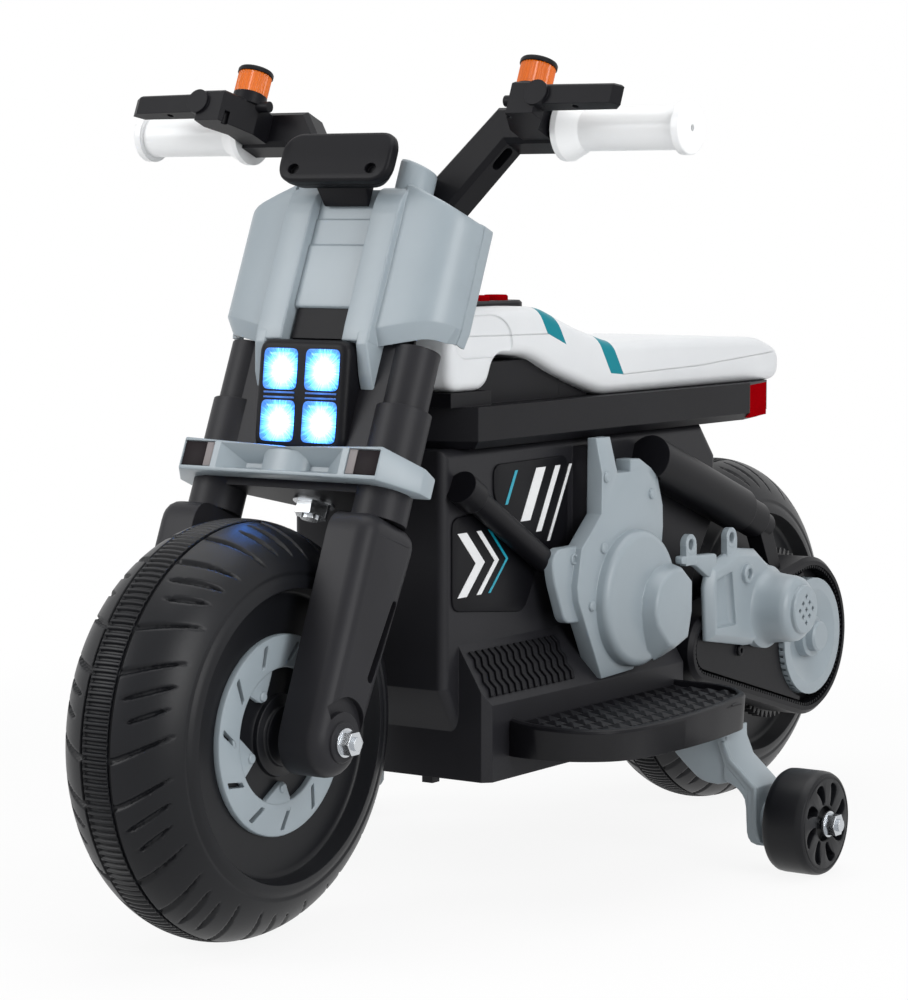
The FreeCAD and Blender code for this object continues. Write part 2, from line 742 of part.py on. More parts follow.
def motor_pinion():
    """Pinion in one piece with the motor shaft."""
    centre = V(0, MOTOR_Y, MOTOR_Z)
    phase = math.radians(MOTOR_BEARING + 180) + math.pi / PINION_TEETH
    teeth = gear_slab(PINION_TEETH, centre, phase, GEAR_INNER, GEAR_OUTER)
    return fused(teeth, rod_x(centre, GEAR_OUTER, BODY_HALF + MOTOR_LENGTH / 2, MOTOR_SHAFT_RADIUS))


def stabiliser_wheel():
    """Small hard wheel with a rim, a dished face with slots and a hub."""
    axle = V(0, STABILISER_Y, STABILISER_RADIUS)
    low, high = STABILISER_INNER, STABILISER_OUTER
    wheel = rod_x(axle, low, high, STABILISER_RADIUS)
    wheel = softened(softened(wheel, "x", high, STABILISER_DISH), "x", low, STABILISER_DISH)
    dish_radius = STABILISER_RADIUS - STABILISER_RIM
    floor = high - STABILISER_DISH
    hub = rod_x(axle, floor, high, STABILISER_HUB_RADIUS)
    dish = rod_x(axle, floor, high + OVERRUN, dish_radius).cut(hub)
    slot_low = axle.z + STABILISER_HUB_RADIUS + STABILISER_SLOT_WIDTH / 2
    slot_high = axle.z + dish_radius - STABILISER_SLOT_WIDTH / 2
    half = STABILISER_SLOT_WIDTH / 2
    slot = box((floor - STABILISER_DISH, high), (axle.y - half, axle.y + half), (slot_low, slot_high))
    step = 360 / STABILISER_SLOT_COUNT
    slots = [turned(slot, k * step, axle) for k in range(STABILISER_SLOT_COUNT)]
    bore = rod_x(axle, low - OVERRUN, high + OVERRUN, AXLE_RADIUS + RUN_FIT)
    return wheel.cut([dish, bore] + slots)


# Steering pieces, drawn upright: X across, Y to the rear of the steering axis, Z up along it

def steering_stem():
    low = CROWN_BOTTOM - WASHER_THICKNESS - STEM_NUT_HEIGHT - THREAD_END
    return in_steering(rod(V(0, 0, low), V(0, 0, CROWN_TOP + BAR_THICKNESS), STEM_RADIUS))


def steering_nuts():
    """Stem nut and washer under the crown, and the front axle's nuts and washers."""
    washer_low = CROWN_BOTTOM - WASHER_THICKNESS
    nut_low = washer_low - STEM_NUT_HEIGHT
    hole = rod(V(0, 0, nut_low - OVERRUN), V(0, 0, CROWN_TOP), STEM_RADIUS)
    washer = rod(V(0, 0, washer_low), V(0, 0, CROWN_BOTTOM), STEM_WASHER_RADIUS).cut(hole)
    nut = slab_z(hexagon(0, 0, STEM_NUT_FLATS), nut_low, washer_low).cut(hole)
    left = nut_and_washer(FRONT_AXLE, LEG_FACE, AXLE_RADIUS)
    right = [mirrored(piece) for piece in left]
    return Part.makeCompound([in_steering(washer), in_steering(nut)] + left + right)


def fork_tubes():
    half = TUBE_SPREAD / 2
    tubes = []
    for x in (half, -half):
        tubes.append(rod(V(x, -TUBE_SETBACK, LEG_TOP), V(x, -TUBE_SETBACK, TUBE_STEP), TUBE_RADIUS))
        tubes.append(rod(V(x, -TUBE_SETBACK, TUBE_STEP), V(x, -TUBE_SETBACK, CROWN_TOP), TUBE_UPPER_RADIUS))
    return tubes


def fork_crown_upright():
    """Two plates on the stem, the panel between them and the two upper fork tubes."""
    half = TUBE_SPREAD / 2
    front = -CROWN_PANEL_FRONT
    plate = [(-half, front), (half, front), (half, -TUBE_SETBACK), (CROWN_BOSS_RADIUS, CROWN_BACK),
             (-CROWN_BOSS_RADIUS, CROWN_BACK), (-half, -TUBE_SETBACK)]
    lower = slab_z(plate, CROWN_BOTTOM, CROWN_BOTTOM + CROWN_PLATE)
    upper = slab_z(plate, CROWN_TOP - CROWN_PLATE, CROWN_TOP)
    panel = box((-half, half), (front, front + CROWN_PANEL), (CROWN_BOTTOM, CROWN_TOP))
    crown = fused(lower, upper, panel, *fork_tubes())
    return crown.cut(rod(V(0, 0, CROWN_BOTTOM - OVERRUN), V(0, 0, CROWN_TOP + OVERRUN), STEM_RADIUS))


def fork_leg():
    """Lower leg shell: rounded outside, an axle boss, a long slot and a crescent beside the boss."""
    middle = -FORK_OFFSET
    half = LEG_DEPTH / 2
    outline = [(middle - LEG_FOOT_RADIUS, -LEG_FOOT_RADIUS), (middle + LEG_FOOT_RADIUS, -LEG_FOOT_RADIUS),
               (middle + half + FORK_OFFSET - TUBE_SETBACK, LEG_TOP), (middle - half, LEG_TOP)]
    leg = slab_x(outline, LEG_INNER, LEG_OUTER, LEG_FOOT_RADIUS - EDGE_ROUND)
    leg = softened(leg, "x", LEG_OUTER, LEG_ROUND)
    outer, top = LEG_OUTER + OVERRUN, LEG_TOP + OVERRUN
    corner = [(outer, LEG_TOP - LEG_TOP_CUT - OVERRUN), (outer, top),
              (LEG_OUTER - LEG_TOP_CUT - OVERRUN, top)]
    rear = middle + half + FORK_OFFSET
    leg = leg.cut(slab_y(corner, -TUBE_SETBACK, rear + OVERRUN))
    hub = V(0, middle, 0)
    leg = leg.fuse(rod_x(hub, LEG_OUTER - OVERRUN, LEG_FACE, AXLE_BOSS_RADIUS))
    slot_y = middle + half / 2
    slot_low = LEG_TOP / 2 - LEG_SLOT_LENGTH / 2
    slot_high = slot_low + LEG_SLOT_LENGTH
    slot_half = LEG_SLOT_WIDTH / 2
    slot = slab_x([(slot_y - slot_half, slot_low), (slot_y + slot_half, slot_low),
                   (slot_y + slot_half, slot_high), (slot_y - slot_half, slot_high)],
                  LEG_OUTER - LEG_SLOT_DEPTH, LEG_OUTER + OVERRUN, slot_half * SLOT_END_SHARE)
    crescent = rod_x(hub, LEG_OUTER - CRESCENT_DEPTH, LEG_OUTER + OVERRUN, AXLE_BOSS_RADIUS + CRESCENT_WIDTH)
    crescent = crescent.cut(rod_x(hub, LEG_OUTER - LEG_WIDTH, LEG_OUTER + LEG_WIDTH, AXLE_BOSS_RADIUS))
    above = box((LEG_INNER, LEG_OUTER + LEG_WIDTH), (middle - LEG_DEPTH, middle + LEG_DEPTH), (0, LEG_TOP))
    bore = rod_x(hub, LEG_INNER - OVERRUN, LEG_FACE + OVERRUN, AXLE_RADIUS)
    return in_steering(leg.cut([slot, crescent.common(above), bore]))


def front_axle():
    end = axle_end(LEG_FACE)
    return rod_x(FRONT_AXLE, -end, end, AXLE_RADIUS)


def bumper_upright():
    """Bumper bar round the fork tubes: swept-back ends, a trough and a middle boss."""
    wide = BUMPER_WIDTH / 2
    flat = BUMPER_FRONT_WIDTH / 2
    inner_front = -BUMPER_FRONT + BUMPER_THICKNESS
    half = [(0, -BUMPER_FRONT), (flat, -BUMPER_FRONT), (wide, -BUMPER_END - BUMPER_THICKNESS),
            (wide, -BUMPER_END), (wide - BUMPER_THICKNESS, -BUMPER_END),
            (flat - BUMPER_THICKNESS, inner_front), (0, inner_front)]
    top = BUMPER_BOTTOM + BUMPER_HEIGHT
    bar = slab_z(both_sides(half), BUMPER_BOTTOM, top)
    dip = [(-flat, top + OVERRUN), (-flat, top), (0, top - BUMPER_DIP), (flat, top), (flat, top + OVERRUN)]
    rear = -BUMPER_END + OVERRUN
    slope = [(-BUMPER_FRONT, top), (rear, top - BUMPER_END_DROP), (rear, top + OVERRUN),
             (-BUMPER_FRONT, top + OVERRUN)]
    bar = bar.cut([slab_y(dip, -BUMPER_FRONT - OVERRUN, 0), slab_x(slope, -BUMPER_WIDTH, BUMPER_WIDTH)])
    trough_half = BUMPER_TROUGH_WIDTH / 2
    floor = -BUMPER_FRONT + BUMPER_TROUGH_DEPTH
    trough = slab_y([(-trough_half, top - BUMPER_TROUGH_DEPTH), (trough_half, top - BUMPER_TROUGH_DEPTH),
                     (0, BUMPER_BOTTOM - OVERRUN)], -BUMPER_FRONT - OVERRUN, floor)
    boss = Part.makeCone(BUMPER_BOSS_RADIUS, BUMPER_BOSS_RADIUS / 2, BUMPER_HEIGHT - BUMPER_DIP - EDGE_ROUND,
                         V(0, floor, BUMPER_BOTTOM))
    front = -BUMPER_FRONT - BUMPER_TROUGH_DEPTH
    boss = boss.common(box((-flat, flat), (front, inner_front), (BUMPER_BOTTOM, top)))
    return fused(bar.cut(trough), boss).cut(reflectors_upright()).cut(fork_crown_upright())


def reflectors_upright():
    middle = (BUMPER_FRONT_WIDTH - REFLECTOR_WIDTH) / 2 - EDGE_ROUND
    half = REFLECTOR_WIDTH / 2
    low = BUMPER_BOTTOM + (BUMPER_HEIGHT - REFLECTOR_HEIGHT) / 2
    depth = (-BUMPER_FRONT, -BUMPER_FRONT + REFLECTOR_DEPTH)
    return [box((x - half, x + half), depth, (low, low + REFLECTOR_HEIGHT)) for x in (middle, -middle)]


def lamp_frame(shape):
    """Tilt a piece of the headlamp about the middle of the lamp's face."""
    placed = shape.copy()
    place = FreeCAD.Placement(V(0, -LAMP_FRONT, LAMP_MIDDLE), FreeCAD.Rotation(V(1, 0, 0), LAMP_TILT))
    placed.Placement = place.multiply(placed.Placement)
    return placed


def lenses_upright():
    """Four square lenses in two rows, on the tilted face of the headlamp."""
    half = LENS_SIZE / 2
    lenses = []
    for x in (-LENS_PITCH / 2, LENS_PITCH / 2):
        for z in (LENS_PITCH / 2, -LENS_PITCH / 2):
            square = [(x - half, z - half), (x + half, z - half), (x + half, z + half), (x - half, z + half)]
            lens = slab_y(square, -LENS_PROUD, LENS_DEPTH, LENS_ROUND)
            lenses.append(lamp_frame(bevelled(lens, "y", -LENS_PROUD, LENS_PROUD)))
    return lenses


def headlamp_upright():
    wide, high = LAMP_WIDTH / 2, LAMP_HEIGHT / 2
    square = [(-wide, -high), (wide, -high), (wide, high), (-wide, high)]
    block = slab_y(square, 0, LAMP_FRONT, LAMP_ROUND)
    block = lamp_frame(bevelled(block, "y", 0, EDGE_ROUND))
    back = LAMP_FRONT + LAMP_HEIGHT
    behind = box((-LAMP_WIDTH, LAMP_WIDTH), (-CROWN_PANEL_FRONT, back), (0, COWL_TOP))
    above = box((-LAMP_WIDTH, LAMP_WIDTH), (-COWL_RECESS_FRONT, back), (CROWN_TOP, COWL_TOP))
    return block.cut([behind, above] + lenses_upright()).cut(bumper_upright())


def cowl_line(inset):
    """Front line of half the cowl in plan, from the middle out to the rear edge of the wing."""
    wide = COWL_WIDTH / 2 - inset
    return [(0, -COWL_RECESS_FRONT + inset), (COWL_RIB_INNER + inset, -COWL_RECESS_FRONT + inset),
            (COWL_RIB_INNER + COWL_RIB_DRAFT + inset, -COWL_RIB_FRONT + inset),
            (COWL_RIB_OUTER - COWL_RIB_DRAFT - inset, -COWL_RIB_FRONT + inset),
            (COWL_RIB_OUTER - inset / 2, -COWL_SHOULDER_FRONT + inset),
            (wide - inset / 2, -COWL_CORNER_FRONT + inset / 2), (wide, -COWL_CORNER_FRONT + COWL_SIDE_DEPTH)]


def cowl_upright():
    """Shield of two ribs and two wings round the riser, closed on top, with ribs down beside the lamp."""
    outer = cowl_line(0)
    inner = cowl_line(WALL)
    sheet = slab_z(both_sides(outer + inner[::-1]), COWL_BOTTOM, COWL_TOP)
    cover = slab_z(both_sides(outer), COWL_TOP - WALL, COWL_TOP)
    low = COWL_TOP - COWL_CORNER_DROP
    wide = COWL_WIDTH / 2
    back = OVERRUN + COWL_WIDTH
    drop = []
    for sign in (1, -1):
        corner = [(sign * COWL_RIB_OUTER, COWL_TOP), (sign * (wide + OVERRUN), low),
                  (sign * (wide + OVERRUN), COWL_TOP + OVERRUN), (sign * COWL_RIB_OUTER, COWL_TOP + OVERRUN)]
        drop.append(slab_y(corner, -back, back))
        below = COWL_BOTTOM - OVERRUN
        lifted = COWL_BOTTOM + COWL_CORNER_LIFT
        lift = [(sign * COWL_RIB_OUTER, COWL_BOTTOM), (sign * (wide + OVERRUN), lifted),
                (sign * (wide + OVERRUN), below), (sign * COWL_RIB_OUTER, below)]
        drop.append(slab_y(lift, -back, back))
    sheet = fused(sheet, cover, *[wing_roof(sign) for sign in (1, -1)]).cut(drop)
    rib_gap = box((-COWL_RIB_OUTER, COWL_RIB_OUTER), (-COWL_WIDTH, -COWL_SHOULDER_FRONT),
                  (COWL_RIB_TOP, COWL_TOP + OVERRUN))
    caps = []
    for x in (CAP_SPREAD / 2, -CAP_SPREAD / 2):
        foot = V(x, -CAP_SETBACK, COWL_TOP - WALL)
        caps.append(rod(foot, foot + V(0, 0, WALL + CAP_HEIGHT), CAP_RADIUS))
    cowl = fused(sheet.cut(rib_gap), *[cowl_rib(sign) for sign in (1, -1)], *caps)
    return cowl.cut([fork_crown_upright(), handlebar_upright(), headlamp_upright()])


def wing_roof(sign):
    """Sloping roof of one wing, one wall thick."""
    low = COWL_TOP - COWL_CORNER_DROP
    wide = COWL_WIDTH / 2
    slope = [(sign * COWL_RIB_OUTER, COWL_TOP - WALL), (sign * (wide + OVERRUN), low - WALL),
             (sign * (wide + OVERRUN), low), (sign * COWL_RIB_OUTER, COWL_TOP)]
    roof = slab_y(slope, -COWL_WIDTH, COWL_WIDTH)
    return roof.common(slab_z(both_sides(cowl_line(0)), COWL_BOTTOM, COWL_TOP))


def cowl_rib(sign):
    """Lower end of a rib, tapering back beside the headlamp."""
    low, high = COWL_RIB_BOTTOM, COWL_BOTTOM
    side = [(-COWL_RIB_FRONT, high), (-COWL_RIB_TIP_FRONT, low), (-CROWN_PANEL_FRONT, low),
            (-CROWN_PANEL_FRONT, high)]
    inner = sign * (LAMP_WIDTH / 2 + PLAY)
    outer = sign * (COWL_RIB_OUTER - COWL_RIB_DRAFT)
    return slab_x(side, min(inner, outer), max(inner, outer))


def bar_line():
    """Middle line of the left bar arm in front view."""
    root = V(BAR_ROOT_SPREAD / 2, 0, BAR_ROOT_LEVEL)
    return [root, V(BAR_BEND_SPREAD / 2, 0, GRIP_LEVEL), V(BAR_END, 0, GRIP_LEVEL)]


def bar_arm():
    """Left arm: a flat bar that rises outward, bends level and carries the grip spigot."""
    root, bend, end = bar_line()
    half = BAR_THICKNESS / 2
    rise = bend - root
    rise.normalize()
    square = V(-rise.z, 0, rise.x) * half
    corner = half * math.tan(math.atan2(rise.z, rise.x) / 2)
    outline = [(0, BAR_ROOT_LEVEL - half), (root.x - square.x, BAR_ROOT_LEVEL - half),
               (bend.x + corner, bend.z - half), (end.x, end.z - half), (end.x, end.z + half),
               (bend.x - corner, bend.z + half), (root.x + square.x, root.z + square.z),
               (0, root.z + square.z)]
    arm = slab_y(outline, -BAR_FRONT, BAR_BACK)
    for level in (-BAR_FRONT, BAR_BACK):
        arm = bevelled(arm, "y", level, BAR_ROUND)
    axis = V(0, grip_middle(), GRIP_LEVEL)
    spigot = rod_x(axis, BAR_END - OVERRUN, GRIP_END - GRIP_END_WIDTH, SPIGOT_RADIUS)
    middle = root + (bend - root) * BAR_HOLE_SHARE - square * 2
    wide, high = V(0, BAR_HOLE_WIDTH / 2, 0), rise * (BAR_HOLE_LENGTH / 2)
    corners = [middle + wide + high, middle - wide + high, middle - wide - high, middle + wide - high]
    slot = flat_wire(corners, BAR_HOLE_WIDTH / 2 * SLOT_END_SHARE)
    hole = Part.Face(slot).extrude(square * BAR_HOLE_DEPTH_SHARE)
    return arm.fuse(spigot).cut(hole)


def grip_middle():
    return (BAR_BACK - BAR_FRONT) / 2


def handlebar_upright():
    """Riser on the stem with both bar arms in one moulding."""
    arm = bar_arm()
    half = RISER_WIDTH / 2
    riser = box((-half, half), (-COWL_RECESS_FRONT + WALL, RISER_BACK), (CROWN_TOP, BAR_ROOT_LEVEL - WALL))
    bar = fused(riser, arm, mirrored(arm))
    return bar.cut(rod(V(0, 0, CROWN_TOP - OVERRUN), V(0, 0, CROWN_TOP + BAR_THICKNESS), STEM_RADIUS))


def grip():
    """Grip sleeve with a flared inner flange and an end flange with a small vent."""
    axis = V(0, grip_middle(), GRIP_LEVEL)
    flange_end = BAR_END + GRIP_FLANGE_WIDTH
    body = rod_x(axis, BAR_END, GRIP_END, GRIP_RADIUS)
    flange = rod_x(axis, BAR_END, flange_end, GRIP_FLANGE_RADIUS)
    taper = cone_x(axis, flange_end, flange_end + GRIP_TAPER_LENGTH, GRIP_FLANGE_RADIUS, GRIP_RADIUS)
    end = rod_x(axis, GRIP_END - GRIP_END_WIDTH, GRIP_END, GRIP_END_RADIUS)
    end = softened(end, "x", GRIP_END, EDGE_ROUND)
    core = rod_x(axis, BAR_END - OVERRUN, GRIP_END - GRIP_END_WIDTH, SPIGOT_RADIUS)
    vent = rod_x(axis, GRIP_END - GRIP_END_WIDTH - OVERRUN, GRIP_END + OVERRUN, GRIP_VENT_RADIUS)
    return in_steering(fused(body, flange, taper, end).cut([core, vent]))


def lever():
    """Fixed lever moulding: clamp on the bar, body under the indicator, finger bar ahead of the grip."""
    back = -LEVER_FRONT + LEVER_DEPTH
    clamp_end = LEVER_INNER + LEVER_CLAMP_WIDTH
    body_end = LEVER_INNER + LEVER_BODY_LENGTH
    body = [(LEVER_INNER, -BAR_FRONT), (LEVER_INNER, -LAMP_POST_FRONT),
            (LEVER_INNER + LEVER_DEPTH, -LEVER_FRONT), (body_end, -LEVER_FRONT), (body_end, back),
            (clamp_end, -LAMP_POST_FRONT), (clamp_end, -BAR_FRONT)]
    top = LEVER_BODY_BOTTOM + LEVER_BODY_HEIGHT
    block = bevelled(slab_z(body, LEVER_BODY_BOTTOM, top), "z", top, EDGE_ROUND)
    finger = slab_z([(LEVER_INNER + LEVER_DEPTH, -LEVER_FRONT), (LEVER_TIP, -LEVER_FRONT + EDGE_ROUND),
                     (LEVER_TIP + LEVER_DEPTH / 2, (back - LEVER_FRONT) / 2), (LEVER_TIP, back),
                     (clamp_end, back)], LEVER_BOTTOM, LEVER_BOTTOM + LEVER_HEIGHT)
    finger = bevelled(finger, "z", LEVER_BOTTOM + LEVER_HEIGHT, EDGE_ROUND)
    pad_middle = V(body_end, -LEVER_FRONT + LEVER_DEPTH / 2, LEVER_BOTTOM + LEVER_HEIGHT / 2)
    pad = rod(pad_middle, pad_middle - V(0, LEVER_DEPTH / 2 + LEVER_PAD_HEIGHT, 0), LEVER_PAD_RADIUS)
    stub_low = V(LEVER_INNER - LEVER_STUB_LENGTH, -LAMP_POST_FRONT, LEVER_BOTTOM + LEVER_HEIGHT)
    stub = rod(stub_low, stub_low + V(LEVER_STUB_LENGTH + LEVER_DEPTH, 0, 0), LEVER_STUB_RADIUS)
    foot_low = V(LAMP_POST, -LAMP_POST_FRONT, top - EDGE_ROUND)
    foot = rod(foot_low, foot_low + V(0, 0, LAMP_FOOT_HEIGHT + EDGE_ROUND), INDICATOR_RADIUS + EDGE_ROUND)
    holes = []
    for x in (LAMP_POST, (body_end + LEVER_TIP) / 2):
        hole_low = V(x, -LEVER_FRONT + LEVER_DEPTH / 2, LEVER_BODY_BOTTOM - OVERRUN)
        holes.append(rod(hole_low, hole_low + V(0, 0, OVERRUN + LEVER_HOLE_DEPTH), LEVER_HOLE_RADIUS))
    return in_steering(fused(block, finger, pad, stub, foot).cut(holes))


def indicator_foot():
    return LEVER_BODY_BOTTOM + LEVER_BODY_HEIGHT + LAMP_FOOT_HEIGHT


def indicator_lamps():
    """Amber lens of stacked ribs on each lever body."""
    low = indicator_foot()
    step = INDICATOR_HEIGHT / INDICATOR_RIB_COUNT
    rings = []
    for k in range(INDICATOR_RIB_COUNT):
        start = V(LAMP_POST, -LAMP_POST_FRONT, low + k * step)
        rings.append(Part.makeCone(INDICATOR_RADIUS, INDICATOR_RADIUS - INDICATOR_RIB_DEPTH, step, start))
    lamp = in_steering(fused(*rings))
    return Part.makeCompound([lamp, mirrored(lamp)])


def indicator_caps():
    low = indicator_foot() + INDICATOR_HEIGHT
    start = V(LAMP_POST, -LAMP_POST_FRONT, low)
    cap = Part.makeCylinder(INDICATOR_CAP_RADIUS, INDICATOR_CAP_HEIGHT, start)
    cap = in_steering(softened(cap, "z", low + INDICATOR_CAP_HEIGHT, EDGE_ROUND))
    return Part.makeCompound([cap, mirrored(cap)])


def dash_pod():
    """Instrument pod on the cowl: a rounded face on a narrow neck, with a seam and two screw holes."""
    wide, neck = POD_WIDTH / 2, POD_NECK_WIDTH / 2
    face = both_sides([(0, POD_NECK_BOTTOM), (neck, POD_NECK_BOTTOM), (wide - POD_ROUND, COWL_RIB_TOP + PLAY),
                       (wide, POD_WAIST_LEVEL), (wide - POD_ROUND, POD_TOP), (0, POD_TOP)])
    front = slab_y(face, -POD_FRONT, -COWL_RECESS_FRONT)
    front = bevelled(front, "y", -POD_FRONT, POD_ROUND)
    plan = both_sides([(0, -POD_FRONT), (wide, -POD_FRONT), (wide, -COWL_RIB_FRONT),
                       (POD_BACK_WIDTH / 2, -COWL_RECESS_FRONT), (0, -COWL_RECESS_FRONT)])
    front = front.common(slab_z(plan, POD_NECK_BOTTOM, POD_TOP))
    seam = box((-POD_WIDTH, POD_WIDTH), (-POD_FRONT - OVERRUN, -POD_FRONT + POD_ROUND),
               (POD_WAIST_LEVEL, POD_WAIST_LEVEL + POD_SEAM))
    screws = []
    for x in (POD_SCREW_SPREAD / 2, -POD_SCREW_SPREAD / 2):
        start = V(x, -POD_FRONT - OVERRUN, (POD_WAIST_LEVEL + COWL_RIB_TOP) / 2)
        screws.append(rod(start, start + V(0, OVERRUN + POD_SCREW_DEPTH, 0), POD_SCREW_RADIUS))
    return in_steering(front.cut([seam] + screws).cut(cowl_upright()))


# Chassis pieces

def head_tube():
    """Tube round the stem with the neck that joins it to the front of the body."""
    low = CROWN_BOTTOM + CROWN_PLATE + PLAY
    high = CROWN_TOP - CROWN_PLATE - PLAY
    tube = in_steering(rod(V(0, 0, low), V(0, 0, high), HEAD_RADIUS))
    half = NECK_WIDTH / 2
    neck = in_steering(box((-half, half), (0, BODY_FRONT), (low, high)))
    ahead = box((-NECK_WIDTH, NECK_WIDTH), (-BODY_FRONT, BODY_LENGTH), (0, TANK_TOP))
    bore = in_steering(rod(V(0, 0, low - OVERRUN), V(0, 0, high + OVERRUN), STEM_RADIUS + RUN_FIT))
    ceiling = box((-NECK_WIDTH, NECK_WIDTH), (-WHEELBASE, WHEELBASE), (BODY_TOP, TANK_TOP))
    return fused(tube, neck.cut([ahead, ceiling])).cut(bore)


def body_side(inset):
    """Hull and sill of the left half, drawn in by an inset on every side but the parting plane."""
    shift = (-BODY_FRONT + inset, BODY_BOTTOM + inset)
    size = (BODY_LENGTH - 2 * inset, BODY_TOP - BODY_BOTTOM - 2 * inset)
    hull = slab_x(spread(BODY_OUTLINE_SHARES, shift, size), 0, BODY_HALF - inset)
    if not inset:
        hull = softened(hull, "x", BODY_HALF, BODY_ROUND)
    arch = rod_x(REAR_AXLE, -OVERRUN, BODY_WIDTH, WHEEL_RADIUS + ARCH_GAP + inset)
    low, high = BODY_BOTTOM + inset, BODY_BOTTOM + SILL_HEIGHT
    waist = high + SHIN_HEIGHT
    section = [(0, low), (SILL_HALF - inset, low), (SILL_HALF - inset, high - inset / 2),
               (BODY_HALF - inset, waist - inset / 2), (0, waist - inset / 2)]
    sill = slab_y(section, -SILL_FRONT + inset, -SILL_FRONT + SILL_LENGTH - inset)
    nose_front, nose_back = -SILL_FRONT - OVERRUN, -SILL_FRONT + SILL_NOSE
    nose_inner = SILL_HALF - SILL_NOSE - inset
    nose = slab_z([(nose_inner, nose_front), (SILL_HALF + OVERRUN, nose_front),
                   (SILL_HALF + OVERRUN, nose_back + OVERRUN), (SILL_HALF - inset, nose_back),
                   (nose_inner, -SILL_FRONT)], 0, BODY_TOP)
    return fused(hull.cut(arch), sill.cut(nose))


def cover_pad():
    """Raised pad of the shell behind the engine cover."""
    disc = V(0, ENGINE_DISC_MIDDLE, ENGINE_DISC_LEVEL)
    disc_pad = rod_x(disc, BODY_HALF - WALL, COVER_BACK, ENGINE_DISC_RADIUS - COVER_BEVEL)
    half = COVER_POST_WIDTH / 2
    middle = -COVER_FRONT + COVER_POST_SETBACK
    post = box((BODY_HALF - WALL, COVER_BACK), (middle - half, middle + half),
               (ENGINE_DISC_LEVEL, BODY_TOP - BODY_ROUND))
    return disc_pad.fuse(post)


def body_shell():
    return fused(body_side(0).cut(body_side(WALL)), cover_pad())


def body_shell_right():
    hole = rod_x(V(0, -SOCKET_Y, SOCKET_Z), -BODY_HALF - OVERRUN, 0, SOCKET_BODY_RADIUS)
    return mirrored(body_shell()).cut(hole)


def belly_pan():
    """Plate under the shells with a small hook at its front edge."""
    half = PAN_WIDTH / 2
    front = -PAN_LENGTH / 2
    low = BODY_BOTTOM - PAN_THICKNESS
    outline = [(-half, front), (half, front), (half, -front), (-half, -front)]
    pan = bevelled(slab_z(outline, low, BODY_BOTTOM, PAN_ROUND), "z", low, EDGE_ROUND)
    hook_front = front + PAN_ROUND
    hook = box((PAN_HOOK_ASIDE, PAN_HOOK_ASIDE + PAN_HOOK), (hook_front, hook_front + PAN_HOOK),
               (low - PAN_HOOK, low))
    return fused(pan, hook)


def seat_rail():
    """Long tray that closes the body, with the pad and plinth that carry the seat, open underneath."""
    nose, wide, tail = RAIL_NOSE_WIDTH / 2, RAIL_WIDTH / 2, RAIL_TAIL_WIDTH / 2
    shoulder = -RAIL_FRONT + RAIL_NOSE_LENGTH
    half = [(nose, -RAIL_FRONT), (wide, shoulder), (wide, RAIL_REAR - RAIL_TAIL_LENGTH), (tail, RAIL_REAR)]
    plan = both_sides(half)
    slab = bevelled(slab_z(plan, BODY_TOP, RAIL_TOP), "z", BODY_TOP, RAIL_CHAMFER)
    seat_half = SEAT_WIDTH / 2
    pad = box((-seat_half, seat_half), (-SEAT_FRONT, -PAD_REAR), (RAIL_TOP, RAIL_TOP + PAD_HEIGHT))
    plinth_half = PLINTH_WIDTH / 2
    plinth = box((-plinth_half, plinth_half), (shoulder, -PLINTH_REAR), (RAIL_TOP, RAIL_TOP + PLINTH_HEIGHT))
    hollow_half = BODY_HALF - WALL
    body_rear = BODY_LENGTH - BODY_FRONT
    hollow = box((-hollow_half, hollow_half), (body_rear, RAIL_REAR - WALL), (0, RAIL_TOP - WALL))
    plinth_hollow = box((-plinth_half + WALL, plinth_half - WALL), (shoulder + WALL, -PLINTH_REAR - WALL),
                        (0, RAIL_TOP + PLINTH_HEIGHT - WALL))
    middle = box((-hollow_half, hollow_half), (0, body_rear - WALL), (0, RAIL_TOP - WALL))
    rail = fused(slab, pad, plinth).cut([hollow, plinth_hollow, middle, steering_notch()])
    return rail.cut(tail_lamps_list())


def tail_lamp():
    """Red lens let into the slanted rear corner of the rail."""
    wide, tail = RAIL_WIDTH / 2, RAIL_TAIL_WIDTH / 2
    bend = RAIL_REAR - RAIL_TAIL_LENGTH
    along = V(tail - wide, RAIL_TAIL_LENGTH, 0)
    along.normalize()
    inward = V(-along.y, along.x, 0) * TAIL_LAMP_DEPTH
    start = V(wide, bend, 0)
    end = start + along * TAIL_LAMP_LENGTH
    low = BODY_TOP + (RAIL_HEIGHT - TAIL_LAMP_HEIGHT) / 2
    corners = [start, end, end + inward, start + inward]
    return slab_z([(p.x, p.y) for p in corners], low, low + TAIL_LAMP_HEIGHT)


def tail_lamps_list():
    lamp = tail_lamp()
    return [lamp, mirrored(lamp)]


def steering_notch():
    """Room for the riser of the handlebar as it turns, drawn about the steering axis."""
    reach = math.hypot(RISER_WIDTH / 2, RISER_BACK) + RISER_CLEARANCE
    return in_steering(rod(V(0, 0, LEG_TOP), V(0, 0, COWL_TOP), reach))


def seat():
    """White moulding of tank and seat in one, open underneath, with an arch over the plinth."""
    start, size = (-SEAT_FRONT, RAIL_TOP), (SEAT_LENGTH, SEAT_HEIGHT)
    half = SEAT_WIDTH / 2
    block = slab_x(spread(SEAT_OUTLINE_SHARES, start, size), -half, half, SEAT_SWEEP)
    block = softened(softened(block, "x", half, SEAT_ROUND), "x", -half, SEAT_ROUND)
    hollow = slab_x(spread(SEAT_HOLLOW_SHARES, start, size), -half + SEAT_WALL, half - SEAT_WALL)
    return block.cut([hollow, panel_block(), steering_notch()])


def panel_block():
    half = PANEL_WIDTH / 2
    low, high = -PANEL_FRONT, -PANEL_FRONT + PANEL_LENGTH
    outline = [(-half, low), (half, low), (half, high), (-half, high)]
    return slab_z(outline, PANEL_FLOOR, PANEL_TOP, PANEL_ROUND)


